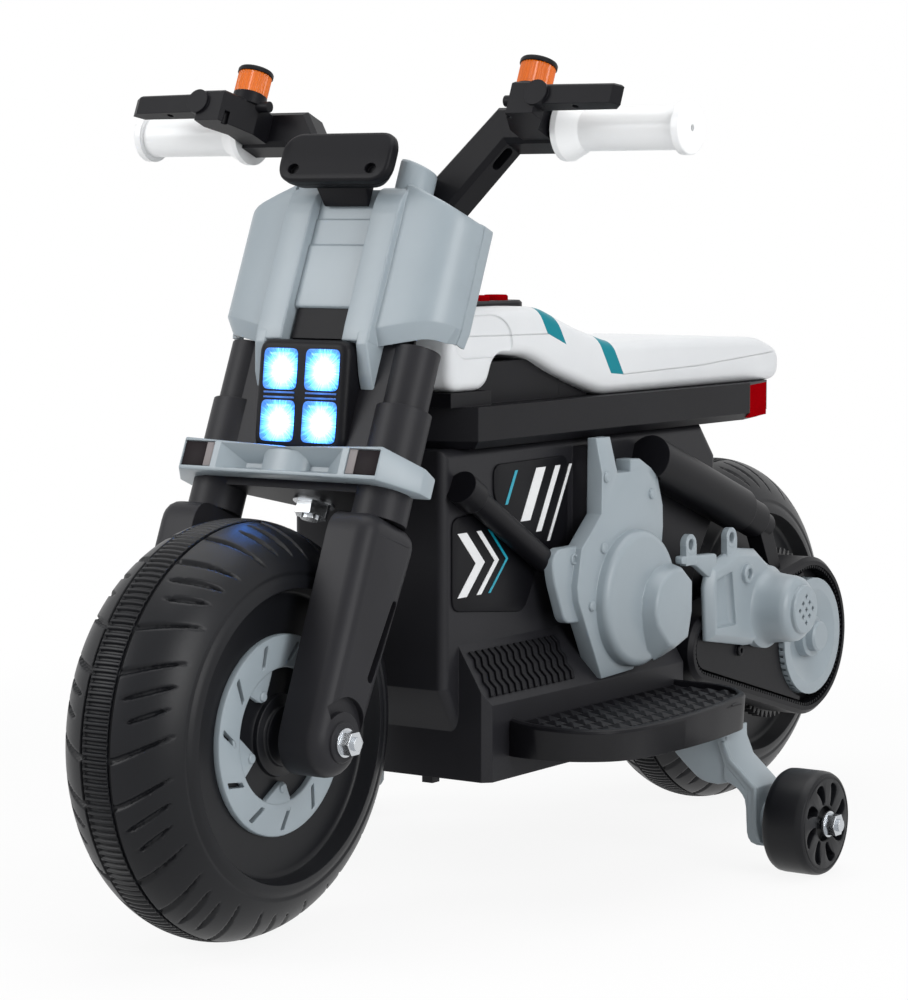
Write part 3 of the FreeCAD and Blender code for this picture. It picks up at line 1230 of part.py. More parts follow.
def button_places():
    """Places of the start button and the horn button, one behind the other on the left of the panel."""
    rear = -PANEL_FRONT + PANEL_LENGTH - BUTTON_REAR_GAP
    return [V(BUTTON_ASIDE, rear - BUTTON_PITCH, PANEL_FLOOR), V(BUTTON_ASIDE, rear, PANEL_FLOOR)]


def button_floor():
    return PANEL_FLOOR + BUTTON_FLANGE / 2


def control_panel():
    """Black panel let into the tank top, with a well for each button."""
    panel = bevelled(panel_block(), "z", PANEL_TOP, EDGE_ROUND)
    wells = []
    for place in button_places():
        foot = V(place.x, place.y, button_floor())
        wells.append(Part.makeCylinder(BUTTON_RADIUS + BUTTON_GAP, PANEL_HEIGHT, foot))
    return panel.cut(wells)


def button(place):
    """Push button that stands above its well by its travel."""
    low = button_floor() + BUTTON_TRAVEL + PLAY
    high = PANEL_TOP + BUTTON_PROUD
    stem = Part.makeCylinder(BUTTON_RADIUS, high - low, V(place.x, place.y, low))
    return softened(stem, "z", high, EDGE_ROUND)


def engine_cover():
    """Grey cover plate with an ear, a bevelled disc and a hexagonal boss."""
    plate = slab_x(spread(COVER_OUTLINE_SHARES, (-COVER_FRONT, COVER_BOTTOM), (COVER_LENGTH, COVER_HEIGHT)),
                   COVER_BACK, COVER_FACE)
    ear = slab_x(spread(EAR_OUTLINE_SHARES, (-EAR_FRONT, EAR_BOTTOM), (EAR_LENGTH, EAR_HEIGHT)),
                 COVER_BACK, COVER_BACK + EAR_THICKNESS, EDGE_ROUND)
    middle = V(0, ENGINE_DISC_MIDDLE, ENGINE_DISC_LEVEL)
    disc_face = COVER_FACE + ENGINE_DISC_HEIGHT
    disc = rod_x(middle, COVER_BACK, disc_face, ENGINE_DISC_RADIUS)
    disc = bevelled(disc, "x", disc_face, ENGINE_DISC_BEVEL)
    boss = hex_boss(middle + V(0, ENGINE_BOSS_SETBACK, -ENGINE_BOSS_DROP), disc_face)
    cover = fused(bevelled(plate, "x", COVER_FACE, COVER_BEVEL), ear, disc, boss)
    return cover.cut([body_side(0), cover_pad()])


def hex_boss(middle, face):
    flats = ENGINE_BOSS_RADIUS * math.sqrt(3)
    top_flats = ENGINE_BOSS_TOP_RADIUS * math.sqrt(3)
    low = [V(face, y, z) for y, z in hexagon(middle.y, middle.z, flats)]
    high = [V(face + ENGINE_BOSS_HEIGHT, y, z) for y, z in hexagon(middle.y, middle.z, top_flats)]
    wires = [Part.makePolygon(points + points[:1]) for points in (low, high)]
    return Part.makeLoft(wires, True, True)


def cover_screws():
    """Round screw heads on both engine covers."""
    heads = []
    for y, z in spread(COVER_SCREW_SHARES, (-COVER_FRONT, COVER_BOTTOM), (COVER_LENGTH, COVER_HEIGHT)):
        head = rod_x(V(0, y, z), COVER_FACE, COVER_FACE + COVER_SCREW_HEIGHT, COVER_SCREW_RADIUS)
        head = bevelled(head, "x", COVER_FACE + COVER_SCREW_HEIGHT, COVER_SCREW_HEIGHT / 2)
        heads += [head, mirrored(head)]
    return Part.makeCompound(heads)


def down_tube():
    """Dummy frame tube on the side of the body, with a collar at its upper end."""
    x = BODY_HALF + DOWN_TUBE_RADIUS
    top = V(x, -DOWN_TUBE_TOP_Y, DOWN_TUBE_TOP_Z)
    low = V(x, -DOWN_TUBE_LOW_Y, DOWN_TUBE_LOW_Z)
    along = low - top
    along.normalize()
    tube = rod(top, low, DOWN_TUBE_RADIUS)
    collar = rod(top, top + along * DOWN_TUBE_COLLAR_LENGTH, DOWN_TUBE_RADIUS + DOWN_TUBE_COLLAR)
    return fused(tube, collar).cut([body_side(0), cover_pad(), engine_cover()])


def rear_shock():
    """Dummy shock beside the tail: a stepped barrel and a bracket down to the belt guard."""
    x = BODY_HALF + SHOCK_NECK_RADIUS
    top = V(x, SHOCK_TOP_Y, SHOCK_TOP_Z)
    low = V(x, SHOCK_LOW_Y, SHOCK_LOW_Z)
    along = low - top
    along.normalize()
    neck_end = low - along * SHOCK_TIP_LENGTH
    neck = neck_end - along * SHOCK_NECK_LENGTH
    barrel = fused(rod(top, neck, SHOCK_RADIUS), rod(neck, neck_end, SHOCK_NECK_RADIUS),
                   rod(neck_end, low, SHOCK_TIP_RADIUS))
    half = SHOCK_BRACKET / 2
    foot = REAR_AXLE.y - half
    bracket = slab_x([(neck_end.y - half, neck_end.z), (low.y, neck_end.z - half), (foot, REAR_AXLE.z),
                      (foot - SHOCK_BRACKET, REAR_AXLE.z)], x - half, x + half)
    return fused(barrel, bracket).cut([body_side(0), cover_pad(), engine_cover(), guard_block()])


def guard_outline(inset, low):
    """Outline of the belt guard: a large and a small circle and the two lines that touch both."""
    front = V(low, GUARD_FRONT, WHEEL_RADIUS + GUARD_FRONT_LIFT)
    rear = V(low, REAR_AXLE.y, REAR_AXLE.z)
    small, large = GUARD_FRONT_RADIUS - inset, GUARD_REAR_RADIUS - inset
    along = front - rear
    turn = math.acos((large - small) / along.Length)
    along.normalize()
    sides = []
    for sign in (1, -1):
        square = FreeCAD.Rotation(V(1, 0, 0), sign * math.degrees(turn)).multVec(along)
        sides.append((rear + square * large, front + square * small))
    (rear_low, front_low), (rear_high, front_high) = sides
    nose = Part.Arc(front_low, front + along * small, front_high)
    tail = Part.Arc(rear_high, rear - along * large, rear_low)
    return Part.Wire([Part.makeLine(rear_low, front_low), nose.toShape(),
                      Part.makeLine(front_high, rear_high), tail.toShape()])


def guard_block():
    """Outer form of the left belt guard, with a bevelled rim."""
    block = Part.Face(guard_outline(0, BODY_HALF)).extrude(V(GUARD_THICKNESS, 0, 0))
    return bevelled(block, "x", GUARD_OUTER, GUARD_BEVEL)


def belt_guard(inner_boss):
    """Tray with the rear axle bore; a boss reaches the wheel hub where no gear stands between."""
    tray = Part.Face(guard_outline(GUARD_RIM, GUARD_SEAT)).extrude(V(GUARD_THICKNESS, 0, 0))
    guard = guard_block().cut(tray)
    if inner_boss:
        guard = fused(guard, rod_x(REAR_AXLE, HUB_FACE + PLAY, BODY_HALF, GUARD_BOSS_RADIUS))
    centre = V(0, MOTOR_Y, MOTOR_Z)
    holes = [rod_x(REAR_AXLE, 0, GUARD_OUTER + OVERRUN, AXLE_RADIUS),
             rod_x(centre, BODY_HALF - OVERRUN, GUARD_OUTER + OVERRUN, CAN_RADIUS)]
    return guard.cut(holes + [body_side(0)])


def motor_ear(place):
    """Loop on the upper edge of the motor plate, given as a share of the plate's length."""
    y = MOTOR_PLATE_FRONT + place * MOTOR_PLATE_LENGTH
    z = MOTOR_PLATE_BOTTOM + MOTOR_PLATE_HEIGHT + EAR_LOOP_RADIUS
    loop = rod_x(V(0, y, z), GUARD_OUTER, MOTOR_PLATE_FACE, EAR_LOOP_RADIUS)
    foot = box((GUARD_OUTER, MOTOR_PLATE_FACE), (y - EAR_LOOP_RADIUS, y + EAR_LOOP_RADIUS),
               (z - 3 * EAR_LOOP_RADIUS / 2, z))
    hole = rod_x(V(0, y, z), GUARD_OUTER - OVERRUN, MOTOR_PLATE_FACE + OVERRUN, EAR_LOOP_HOLE)
    return fused(loop, foot).cut(hole)


def motor_cover():
    """Grey plate on the belt guard with the can over the motor, stepped and vented at its end."""
    centre = V(0, MOTOR_Y, MOTOR_Z)
    plate = slab_x(spread(MOTOR_PLATE_SHARES, (MOTOR_PLATE_FRONT, MOTOR_PLATE_BOTTOM),
                          (MOTOR_PLATE_LENGTH, MOTOR_PLATE_HEIGHT)), GUARD_OUTER, MOTOR_PLATE_FACE)
    plate = bevelled(plate, "x", MOTOR_PLATE_FACE, EDGE_ROUND)
    plate = fused(plate, *[motor_ear(place) for place in MOTOR_EAR_SHARES])
    shoulder = MOTOR_PLATE_FACE + CAN_LENGTH
    can = softened(rod_x(centre, BODY_HALF + PLAY, shoulder, CAN_RADIUS), "x", shoulder, CAN_ROUND)
    disc = rod_x(centre, shoulder - CAN_ROUND, CAN_END, CAN_DISC_RADIUS)
    disc = softened(disc, "x", CAN_END, EDGE_ROUND)
    inside = rod_x(centre, 0, BODY_HALF + MOTOR_LENGTH, MOTOR_RADIUS)
    deeper = rod_x(centre, BODY_HALF + MOTOR_LENGTH, CAN_END - WALL, MOTOR_RADIUS - WALL)
    return fused(plate, can, disc).cut([pulley_clearance(), inside, deeper] + can_vents(centre))


def pulley_clearance():
    return rod_x(REAR_AXLE, GUARD_SEAT, PULLEY_OUTER + PLAY, PULLEY_RADIUS + PLAY)


def can_vents(centre):
    """Square vents set on their corners in the end of the can."""
    vents = []
    half = VENT_SIZE / 2
    for row in range(VENT_ROWS):
        for column in range(VENT_ROWS):
            y = centre.y + (column - row) * VENT_PITCH / math.sqrt(2)
            z = centre.z + (column + row - VENT_ROWS + 1) * VENT_PITCH / math.sqrt(2)
            diamond = [(y - half, z), (y, z - half), (y + half, z), (y, z + half)]
            vents.append(slab_x(diamond, CAN_END - WALL - OVERRUN, CAN_END + OVERRUN))
    return vents


def pulley_cover():
    """Toothed pulley look-alike over the rear axle end: dished face, hub and cap."""
    low, high = GUARD_SEAT, PULLEY_OUTER
    disc = rod_x(REAR_AXLE, low, high, PULLEY_RADIUS)
    half = PULLEY_TOOTH / 2
    y, z = REAR_AXLE.y, REAR_AXLE.z
    notch = box((low + PULLEY_TOOTH, high - PULLEY_TOOTH), (y - half, y + half),
                (z + PULLEY_RADIUS - PULLEY_TOOTH, z + PULLEY_RADIUS + OVERRUN))
    notches = [turned(notch, k * 360 / PULLEY_TEETH, REAR_AXLE) for k in range(PULLEY_TEETH)]
    dish = cone_x(REAR_AXLE, high - PULLEY_DISH_DEPTH, high, PULLEY_HUB_RADIUS, PULLEY_DISH_RADIUS)
    hub = rod_x(REAR_AXLE, low, high, PULLEY_HUB_RADIUS)
    cap_end = high + PULLEY_CAP_HEIGHT
    cap = bevelled(rod_x(REAR_AXLE, low, cap_end, PULLEY_CAP_RADIUS), "x", cap_end, EDGE_ROUND)
    nut_room = rod_x(REAR_AXLE, low - OVERRUN, axle_end(low) + PLAY, WASHER_RADIUS + PLAY)
    return fused(disc.cut(notches).cut(dish), hub, cap).cut(nut_room)


def pulley_covers():
    cover = pulley_cover()
    return Part.makeCompound([cover, mirrored(cover)])


def rear_axle():
    end = axle_end(GUARD_SEAT)
    return rod_x(REAR_AXLE, -end, end, AXLE_RADIUS)


def chassis_nuts():
    """Nuts and washers of the rear axle and of both stabiliser axles."""
    stabiliser = V(0, STABILISER_Y, STABILISER_RADIUS)
    left = nut_and_washer(REAR_AXLE, GUARD_SEAT, AXLE_RADIUS)
    left += nut_and_washer(stabiliser, STABILISER_OUTER + ARM_BOLT_GAP, AXLE_RADIUS)
    return Part.makeCompound(left + [mirrored(piece) for piece in left])


def drive_motor():
    centre = V(0, MOTOR_Y, MOTOR_Z)
    can = rod_x(centre, BODY_HALF, BODY_HALF + MOTOR_LENGTH, MOTOR_RADIUS)
    bore_end = BODY_HALF + MOTOR_LENGTH / 2 + PLAY
    return can.cut(rod_x(centre, BODY_HALF - OVERRUN, bore_end, MOTOR_SHAFT_RADIUS + RUN_FIT))


def footrest():
    """Foot platform with a raised rim on the side of the sill."""
    outline = spread(FOOTREST_SHARES, (SILL_HALF, -FOOTREST_FRONT), (FOOTREST_WIDTH, FOOTREST_LENGTH))
    block = slab_z(outline, FOOTREST_BOTTOM, FOOTREST_TOP, FOOTREST_ROUND)
    block = bevelled(block, "z", FOOTREST_BOTTOM, FOOTREST_BEVEL)
    size = (FOOTREST_WIDTH - 2 * FOOTREST_RIM, FOOTREST_LENGTH - 2 * FOOTREST_RIM)
    floor = spread(FOOTREST_SHARES, (SILL_HALF + FOOTREST_RIM, -FOOTREST_FRONT + FOOTREST_RIM), size)
    hollow = slab_z(floor, FOOTREST_FLOOR, FOOTREST_TOP + OVERRUN, FOOTREST_ROUND - FOOTREST_RIM)
    under = slab_z(floor, FOOTREST_BOTTOM + ARM_PLATE, FOOTREST_FLOOR - WALL, FOOTREST_ROUND - FOOTREST_RIM)
    drain = V(SILL_HALF + FOOTREST_WIDTH / 2, 0, 0)
    slot = rod(drain, drain + V(0, 0, FOOTREST_FLOOR - WALL), FOOTREST_RIM)
    return block.cut([hollow, under, slot])


def pedal_hinge():
    return V(0, -PEDAL_HINGE_Y, FOOTREST_FLOOR + PEDAL_HINGE_LIFT)


def footrest_right():
    """Right footrest, with two lugs for the hinge of the accelerator pedal."""
    hinge = pedal_hinge()
    lugs = []
    half = PEDAL_WIDTH / 2 + PLAY
    for low in (-PEDAL_ASIDE - half - LUG_WIDTH, -PEDAL_ASIDE + half):
        foot = [(hinge.y - PEDAL_KNUCKLE_RADIUS, FOOTREST_FLOOR - EDGE_ROUND),
                (hinge.y + PEDAL_KNUCKLE_RADIUS, FOOTREST_FLOOR - EDGE_ROUND),
                (hinge.y + PEDAL_KNUCKLE_RADIUS, hinge.z + PEDAL_KNUCKLE_RADIUS),
                (hinge.y - PEDAL_KNUCKLE_RADIUS, hinge.z + PEDAL_KNUCKLE_RADIUS)]
        lugs.append(slab_x(foot, low, low + LUG_WIDTH))
    pin = rod_x(hinge, -PEDAL_ASIDE - PEDAL_WIDTH, -PEDAL_ASIDE + PEDAL_WIDTH, PEDAL_PIN_RADIUS + RUN_FIT)
    return fused(mirrored(footrest()), *lugs).cut(pin)


def accelerator_pedal():
    """Foot pedal that slopes up to the front from its hinge."""
    hinge = pedal_hinge()
    front = hinge.y - PEDAL_LENGTH
    low = hinge.z + PEDAL_RISE
    side = [(hinge.y, hinge.z), (front, low), (front, low + PEDAL_THICKNESS),
            (hinge.y, hinge.z + PEDAL_KNUCKLE_RADIUS)]
    half = PEDAL_WIDTH / 2
    plate = slab_x(side, -PEDAL_ASIDE - half, -PEDAL_ASIDE + half)
    knuckle = rod_x(hinge, -PEDAL_ASIDE - half, -PEDAL_ASIDE + half, PEDAL_KNUCKLE_RADIUS)
    reach = half + PLAY + LUG_WIDTH
    pin = rod_x(hinge, -PEDAL_ASIDE - reach, -PEDAL_ASIDE + reach, PEDAL_PIN_RADIUS)
    return fused(plate, knuckle, pin)


def stabiliser_arm():
    """Ribbed bracket from the underside of the footrest out and down to the stabiliser wheel."""
    face = STABILISER_INNER - ARM_BOLT_GAP - ARM_SPACER
    front, rear = STABILISER_Y - ARM_DEPTH / 2, STABILISER_Y + ARM_DEPTH / 2
    top = FOOTREST_BOTTOM
    foot = STABILISER_RADIUS - ARM_FOOT
    back, bend = face - ARM_THICKNESS, STABILISER_RADIUS + ARM_FOOT
    under, elbow = top - ARM_PLATE, ARM_ELBOW - ARM_THICKNESS
    section = [(ARM_INNER, top), (ARM_INNER, under), (elbow, under), (back, bend), (back, foot), (face, foot),
               (face, bend), (ARM_ELBOW, top)]
    arm = slab_y(section, front, rear)
    brace = [(ARM_INNER + ARM_THICKNESS, under), (back, STABILISER_RADIUS), (back, bend), (elbow, under)]
    step = (ARM_DEPTH - ARM_RIB) / (ARM_RIB_COUNT - 1)
    ribs = [slab_y(brace, front + k * step, front + k * step + ARM_RIB) for k in range(ARM_RIB_COUNT)]
    axle = V(0, STABILISER_Y, STABILISER_RADIUS)
    spacer = rod_x(axle, face - EDGE_ROUND, face + ARM_SPACER, ARM_SPACER_RADIUS)
    return fused(arm, spacer, *ribs).cut(rod_x(axle, ARM_INNER, STABILISER_OUTER, AXLE_RADIUS))


def stabiliser_axles():
    """Axle bolt of each stabiliser wheel, fixed in the arm."""
    axle = V(0, STABILISER_Y, STABILISER_RADIUS)
    start = STABILISER_INNER - ARM_BOLT_GAP - ARM_SPACER - ARM_THICKNESS
    bolt = rod_x(axle, start, axle_end(STABILISER_OUTER + ARM_BOLT_GAP), AXLE_RADIUS)
    return Part.makeCompound([bolt, mirrored(bolt)])


def battery():
    half = BATTERY_WIDTH / 2
    low = BODY_BOTTOM + WALL
    return box((-half, half), (-BATTERY_FRONT, -BATTERY_FRONT + BATTERY_LENGTH), (low, low + BATTERY_HEIGHT))


def control_board():
    """Control box under the top of the body."""
    half = BOARD_WIDTH / 2
    high = BODY_TOP - WALL
    return box((-half, half), (-BOARD_LENGTH / 2, BOARD_LENGTH / 2), (high - BOARD_HEIGHT, high))


def charge_socket():
    """Charging socket in the right side of the body."""
    centre = V(0, -SOCKET_Y, SOCKET_Z)
    body = rod_x(centre, -BODY_HALF, -BODY_HALF + SOCKET_LENGTH, SOCKET_BODY_RADIUS)
    flange = rod_x(centre, -BODY_HALF - SOCKET_FLANGE, -BODY_HALF, SOCKET_FLANGE_RADIUS)
    face = -BODY_HALF - SOCKET_FLANGE
    return fused(body, flange).cut(rod_x(centre, face, face + SOCKET_DEPTH, SOCKET_RADIUS))


def both(name, shape):
    return {name + "_left": shape, name + "_right": mirrored(shape)}


def pieces():
    parts = {
        "front_tyre": tyre(FRONT_AXLE), "rear_tyre": tyre(REAR_AXLE), "front_discs": front_discs(),
        "drive_gear": drive_gear(), "motor_pinion": motor_pinion(), "steering_stem": steering_stem(),
        "steering_nuts": steering_nuts(), "fork_crown": in_steering(fork_crown_upright()),
        "front_axle": front_axle(), "bumper": in_steering(bumper_upright()),
        "bumper_reflectors": in_steering(Part.makeCompound(reflectors_upright())),
        "headlamp_housing": in_steering(headlamp_upright()),
        "headlamp_lenses": in_steering(Part.makeCompound(lenses_upright())),
        "front_cowl": in_steering(cowl_upright()), "handlebar": in_steering(handlebar_upright()),
        "indicator_lamps": indicator_lamps(), "indicator_caps": indicator_caps(), "dash_pod": dash_pod(),
        "head_tube": head_tube(), "body_shell_left": body_shell(), "body_shell_right": body_shell_right(),
        "belly_pan": belly_pan(), "seat_rail": seat_rail(), "seat": seat(),
        "tail_lamps": Part.makeCompound(tail_lamps_list()), "control_panel": control_panel(),
        "cover_screws": cover_screws(), "pulley_covers": pulley_covers(), "rear_axle": rear_axle(),
        "chassis_nuts": chassis_nuts(), "drive_motor": drive_motor(), "footrest_left": footrest(),
        "footrest_right": footrest_right(), "accelerator_pedal": accelerator_pedal(),
        "stabiliser_axles": stabiliser_axles(), "battery": battery(), "control_board": control_board(),
        "charge_socket": charge_socket(), "belt_guard_left": belt_guard(False),
        "belt_guard_right": mirrored(belt_guard(True)),
    }
    for name, place in zip(("start_button", "horn_button"), button_places()):
        parts[name] = button(place)
    for name, shape in (("fork_leg", fork_leg()), ("grip", grip()), ("lever", lever()),
                        ("engine_cover", engine_cover()), ("down_tube", down_tube()),
                        ("rear_shock", rear_shock()), ("motor_cover", motor_cover()),
                        ("stabiliser_arm", stabiliser_arm()), ("stabiliser_wheel", stabiliser_wheel())):
        parts.update(both(name, shape))
    return parts


os.makedirs("parts", exist_ok=True)
for part_name, part_shape in pieces().items():
    part_shape.exportStep("parts/" + part_name + ".step")
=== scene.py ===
import math

import bpy
from mathutils import Matrix, Vector

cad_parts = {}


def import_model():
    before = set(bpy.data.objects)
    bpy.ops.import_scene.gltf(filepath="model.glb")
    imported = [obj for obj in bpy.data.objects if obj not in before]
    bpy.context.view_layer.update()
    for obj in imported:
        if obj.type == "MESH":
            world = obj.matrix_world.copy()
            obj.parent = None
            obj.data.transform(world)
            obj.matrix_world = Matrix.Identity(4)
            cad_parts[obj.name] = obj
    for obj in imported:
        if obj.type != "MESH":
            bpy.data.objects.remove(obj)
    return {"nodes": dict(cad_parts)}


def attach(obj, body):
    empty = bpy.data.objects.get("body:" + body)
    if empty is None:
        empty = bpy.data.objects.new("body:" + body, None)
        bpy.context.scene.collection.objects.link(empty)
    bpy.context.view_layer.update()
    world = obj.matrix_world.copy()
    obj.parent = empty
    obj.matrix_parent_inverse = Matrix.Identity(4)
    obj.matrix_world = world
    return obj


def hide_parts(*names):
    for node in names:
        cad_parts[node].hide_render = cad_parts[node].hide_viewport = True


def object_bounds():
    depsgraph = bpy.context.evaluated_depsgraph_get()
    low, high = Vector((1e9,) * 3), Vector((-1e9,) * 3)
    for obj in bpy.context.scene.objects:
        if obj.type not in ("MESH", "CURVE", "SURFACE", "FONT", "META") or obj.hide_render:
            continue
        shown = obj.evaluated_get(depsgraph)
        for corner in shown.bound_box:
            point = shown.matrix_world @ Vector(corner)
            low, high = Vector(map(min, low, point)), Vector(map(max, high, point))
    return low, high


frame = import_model()
cad_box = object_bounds()
MM = 0.001

# Body shells, belly pan and what they hold.
# Two black polypropylene mouldings, screwed together on the bike's middle plane, coloured a lighter black than the
# other black parts as a painted sheen.
# Their spark-eroded moulds leave a fine grain that breaks up the light.
CLOUD = 45.0
GLOSS_SPREAD = 0.06


def linear(hex_code):
    """sRGB hex colour as linear light."""
    channels = [int(hex_code[i:i + 2], 16) / 255 for i in (1, 3, 5)]
    curve = [c / 12.92 if c <= 0.04045 else ((c + 0.055) / 1.055) ** 2.4 for c in channels]
    return (*curve, 1.0)


def add_node(owner, kind, inputs=None, **settings):
    """One shader node with its settings; an input is a value, a socket or the node that feeds it."""
    new = owner.node_tree.nodes.new("ShaderNode" + kind)
    for name, value in settings.items():
        setattr(new, name, value)
    for socket, value in (inputs or {}).items():
        if isinstance(value, bpy.types.Node):
            value = next(output for output in value.outputs if output.enabled)
        if isinstance(value, bpy.types.NodeSocket):
            owner.node_tree.links.new(value, new.inputs[socket])
        else:
            new.inputs[socket].default_value = value
    return new


def bare_material(name):
    """A material with an empty node tree."""
    material = bpy.data.materials.new(name)
    material.use_nodes = True
    material.node_tree.nodes.clear()
    return material


def moulded(name, deep, pale, rough, grain, depth, edge, specular=0.5, **shader):
    """Moulded plastic: clouded colour, eroded grain and softened edges with a painted highlight along them, sizes in
    mm.
    """
    material = bare_material(name)
    place = add_node(material, "TexCoord").outputs["Object"]
    cloud = add_node(material, "TexNoise", {"Vector": place, "Scale": 1 / (CLOUD * MM), "Detail": 4.0})
    corner = add_node(material, "Bevel", {"Radius": edge * MM}, samples=4)
    face = add_node(material, "NewGeometry").outputs["Normal"]
    turn = add_node(material, "VectorMath", {0: corner, 1: face}, operation="DOT_PRODUCT")
    # Painted highlight: where the bevelled normal turns away from the face, along every edge, the colour is mixed
    # towards the paler tone.
    painted_edge_highlight = add_node(material, "MapRange", {"Value": turn, "From Min": 1.0, "From Max": 0.8,
                                           "To Min": 0.0, "To Max": 0.35})
    shade = add_node(material, "Math", {0: cloud, 1: painted_edge_highlight}, operation="ADD", use_clamp=True)
    tint = add_node(material, "Mix", {0: shade, 6: linear(deep), 7: linear(pale)}, data_type="RGBA")
    speck = add_node(material, "TexNoise", {"Vector": place, "Scale": 1 / (grain * MM), "Detail": 2.0})
    gloss = add_node(material, "MapRange", {"Value": speck, "To Min": rough - GLOSS_SPREAD,
                                            "To Max": rough + GLOSS_SPREAD})
    bump = add_node(material, "Bump", {"Height": speck, "Distance": depth * MM, "Strength": 0.6,
                                       "Normal": corner})
    skin = add_node(material, "BsdfPrincipled", {"Base Color": tint, "Roughness": gloss, "Normal": bump,
                                                 "Specular IOR Level": specular, **shader})
    add_node(material, "OutputMaterial", {"Surface": skin})
    return material


def coat(material, *nodes):
    """The same finish on several solids of the frame."""
    for node in nodes:
        piece = frame["nodes"][node]
        piece.data.materials.clear()
        piece.data.materials.append(material)


# Painted sheen: the shells, belly pan, head tube, battery, board, fork legs and crown get a lighter black than the
# other black parts, standing in for the reflection on them.
painted_sheen_black = moulded("painted_sheen_black_polypropylene", "#1a1a1d", "#242428", 0.45, 0.8, 0.05, 0.9, specular=0.2)
coat(painted_sheen_black, "body_shell_left", "body_shell_right", "belly_pan", "head_tube", "battery", "control_board")

# Side panels with stickers.
# A raised black field on each shell carries printed vinyl: slanted bars and chevrons in white and teal.
# The vinyl is cut to its outline and lies 0.3 mm proud of the moulding.
BODY_HALF = 58.0
FIELD_RISE = 1.2
VINYL_RISE = 0.3
UPPER_FIELD = [(-92, 272), (-6, 273), (-6, 218), (-30, 206), (-92, 250)]
LOWER_FIELD = [(-138, 242), (-104, 243), (-42, 202), (-58, 176), (-138, 184)]
BAR_SLANT = 0.55
black_pp = moulded("black_polypropylene", "#0c0c0f", "#151519", 0.42, 0.8, 0.05, 0.9, specular=0.13)
white_vinyl = moulded("white_vinyl", "#e4e6e8", "#f1f2f3", 0.3, 1.5, 0.01, 0.2, IOR=1.5)
teal_vinyl = moulded("teal_vinyl", "#0f95ad", "#16a4bb", 0.3, 1.5, 0.01, 0.2, IOR=1.5)


def world(x, y, z):
    """A point given in mm."""
    return Vector((x, y, z)) * MM


def only(piece):
    """Make a piece the one that operators act on."""
    bpy.ops.object.select_all(action="DESELECT")
    piece.select_set(True)
    bpy.context.view_layer.objects.active = piece


def open_all(piece):
    """Open a piece for editing, with all of it selected."""
    only(piece)
    bpy.ops.object.mode_set(mode="EDIT")
    bpy.ops.mesh.select_all(action="SELECT")


def close():
    bpy.ops.object.mode_set(mode="OBJECT")


def outlined(name, points, fill):
    """A disc, or a bare ring, whose corners go to the points of an outline."""
    bpy.ops.object.select_all(action="DESELECT")
    bpy.ops.mesh.primitive_circle_add(vertices=len(points), fill_type=fill)
    piece = bpy.context.object
    piece.name = piece.data.name = name
    for vertex, point in zip(piece.data.vertices, points):
        vertex.co = point
    return piece


def block(name, points, move):
    """Solid drawn out of an outline."""
    piece = outlined(name, points, "NGON")
    open_all(piece)
    bpy.ops.mesh.extrude_region_move(TRANSFORM_OT_translate={"value": move})
    bpy.ops.mesh.select_all(action="SELECT")
    bpy.ops.mesh.normals_make_consistent(inside=False)
    close()
    return piece


def slab_x(name, pairs, low, high):
    """Solid of an outline in Y and Z, between two distances from the middle plane."""
    return block(name, [world(low, y, z) for y, z in pairs], world(high - low, 0, 0))


def rounded(corners, radius, steps=6):
    """Flat outline with its corners rounded, as far as the sides allow."""
    outline = []
    for k, corner in enumerate(corners):
        here = Vector(corner)
        before = Vector(corners[k - 1]) - here
        after = Vector(corners[(k + 1) % len(corners)]) - here
        reach = min(radius, 0.48 * before.length, 0.48 * after.length)
        start, end = here + before.normalized() * reach, here + after.normalized() * reach
        for step in range(steps + 1):
            t = step / steps
            outline.append(start * (1 - t) ** 2 + here * 2 * t * (1 - t) + end * t ** 2)
    return outline


def apply_modifier(piece, kind, **settings):
    """Add a modifier to a piece and make it part of the mesh."""
    only(piece)
    change = piece.modifiers.new(kind.lower(), kind)
    for name, value in settings.items():
        setattr(change, name, value)
    bpy.ops.object.modifier_apply(modifier=change.name)


def soften(piece, width, segments=2, angle=30):
    """Round every sharp edge of a piece."""
    apply_modifier(piece, "BEVEL", width=width * MM, segments=segments, limit_method="ANGLE",
                   angle_limit=math.radians(angle))


def join(name, *pieces):
    """Put loose mouldings together as one piece."""
    only(pieces[0])
    for piece in pieces:
        piece.select_set(True)
    bpy.ops.object.join()
    pieces[0].name = pieces[0].data.name = name
    return pieces[0]


def copied(piece, name):
    """A copy with its own mesh."""
    twin = piece.copy()
    twin.data = piece.data.copy()
    twin.name = twin.data.name = name
    bpy.context.scene.collection.objects.link(twin)
    return twin


def mirror(piece):
    """Turn a left moulding into a right one."""
    piece.data.transform(Matrix.Scale(-1, 4, (1, 0, 0)))
    piece.data.flip_normals()
    return piece


def fit(piece, material, body, slot, *nodes, smooth=35):
    """Finish a piece and hang it on its body; it may stand for solids of the frame."""
    only(piece)
    bpy.ops.object.shade_smooth_by_angle(angle=math.radians(smooth))
    piece.data.materials.clear()
    piece.data.materials.append(material)
    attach(piece, body)
    if nodes:
        piece.name = piece.data.name = f"{nodes[0]}_moulding"
        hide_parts(*nodes)


def fit_pair(piece, stem, material, body, slot, solid=False, smooth=35):
    """Finish a left moulding and its mirror image; with solid, they stand for the solids of their names."""
    left, right = f"{stem}_left", f"{stem}_right"
    fit(piece, material, body, slot, *[left] * solid, smooth=smooth)
    fit(mirror(copied(piece, right)), material, body.replace("left", "right"), slot, *[right] * solid, smooth=smooth)


def bar(y, low, high, width):
    """Slanted bar of vinyl."""
    lean = (high - low) * BAR_SLANT
    return [(y, low), (y + width, low), (y + width + lean, high), (y + lean, high)]


def chevron(y, z, size, width):
    """Pointed bar of vinyl, open to the front."""
    return [(y, z + size), (y + width, z + size), (y + width + size, z), (y + width, z - size), (y, z - size),
            (y + size, z)]


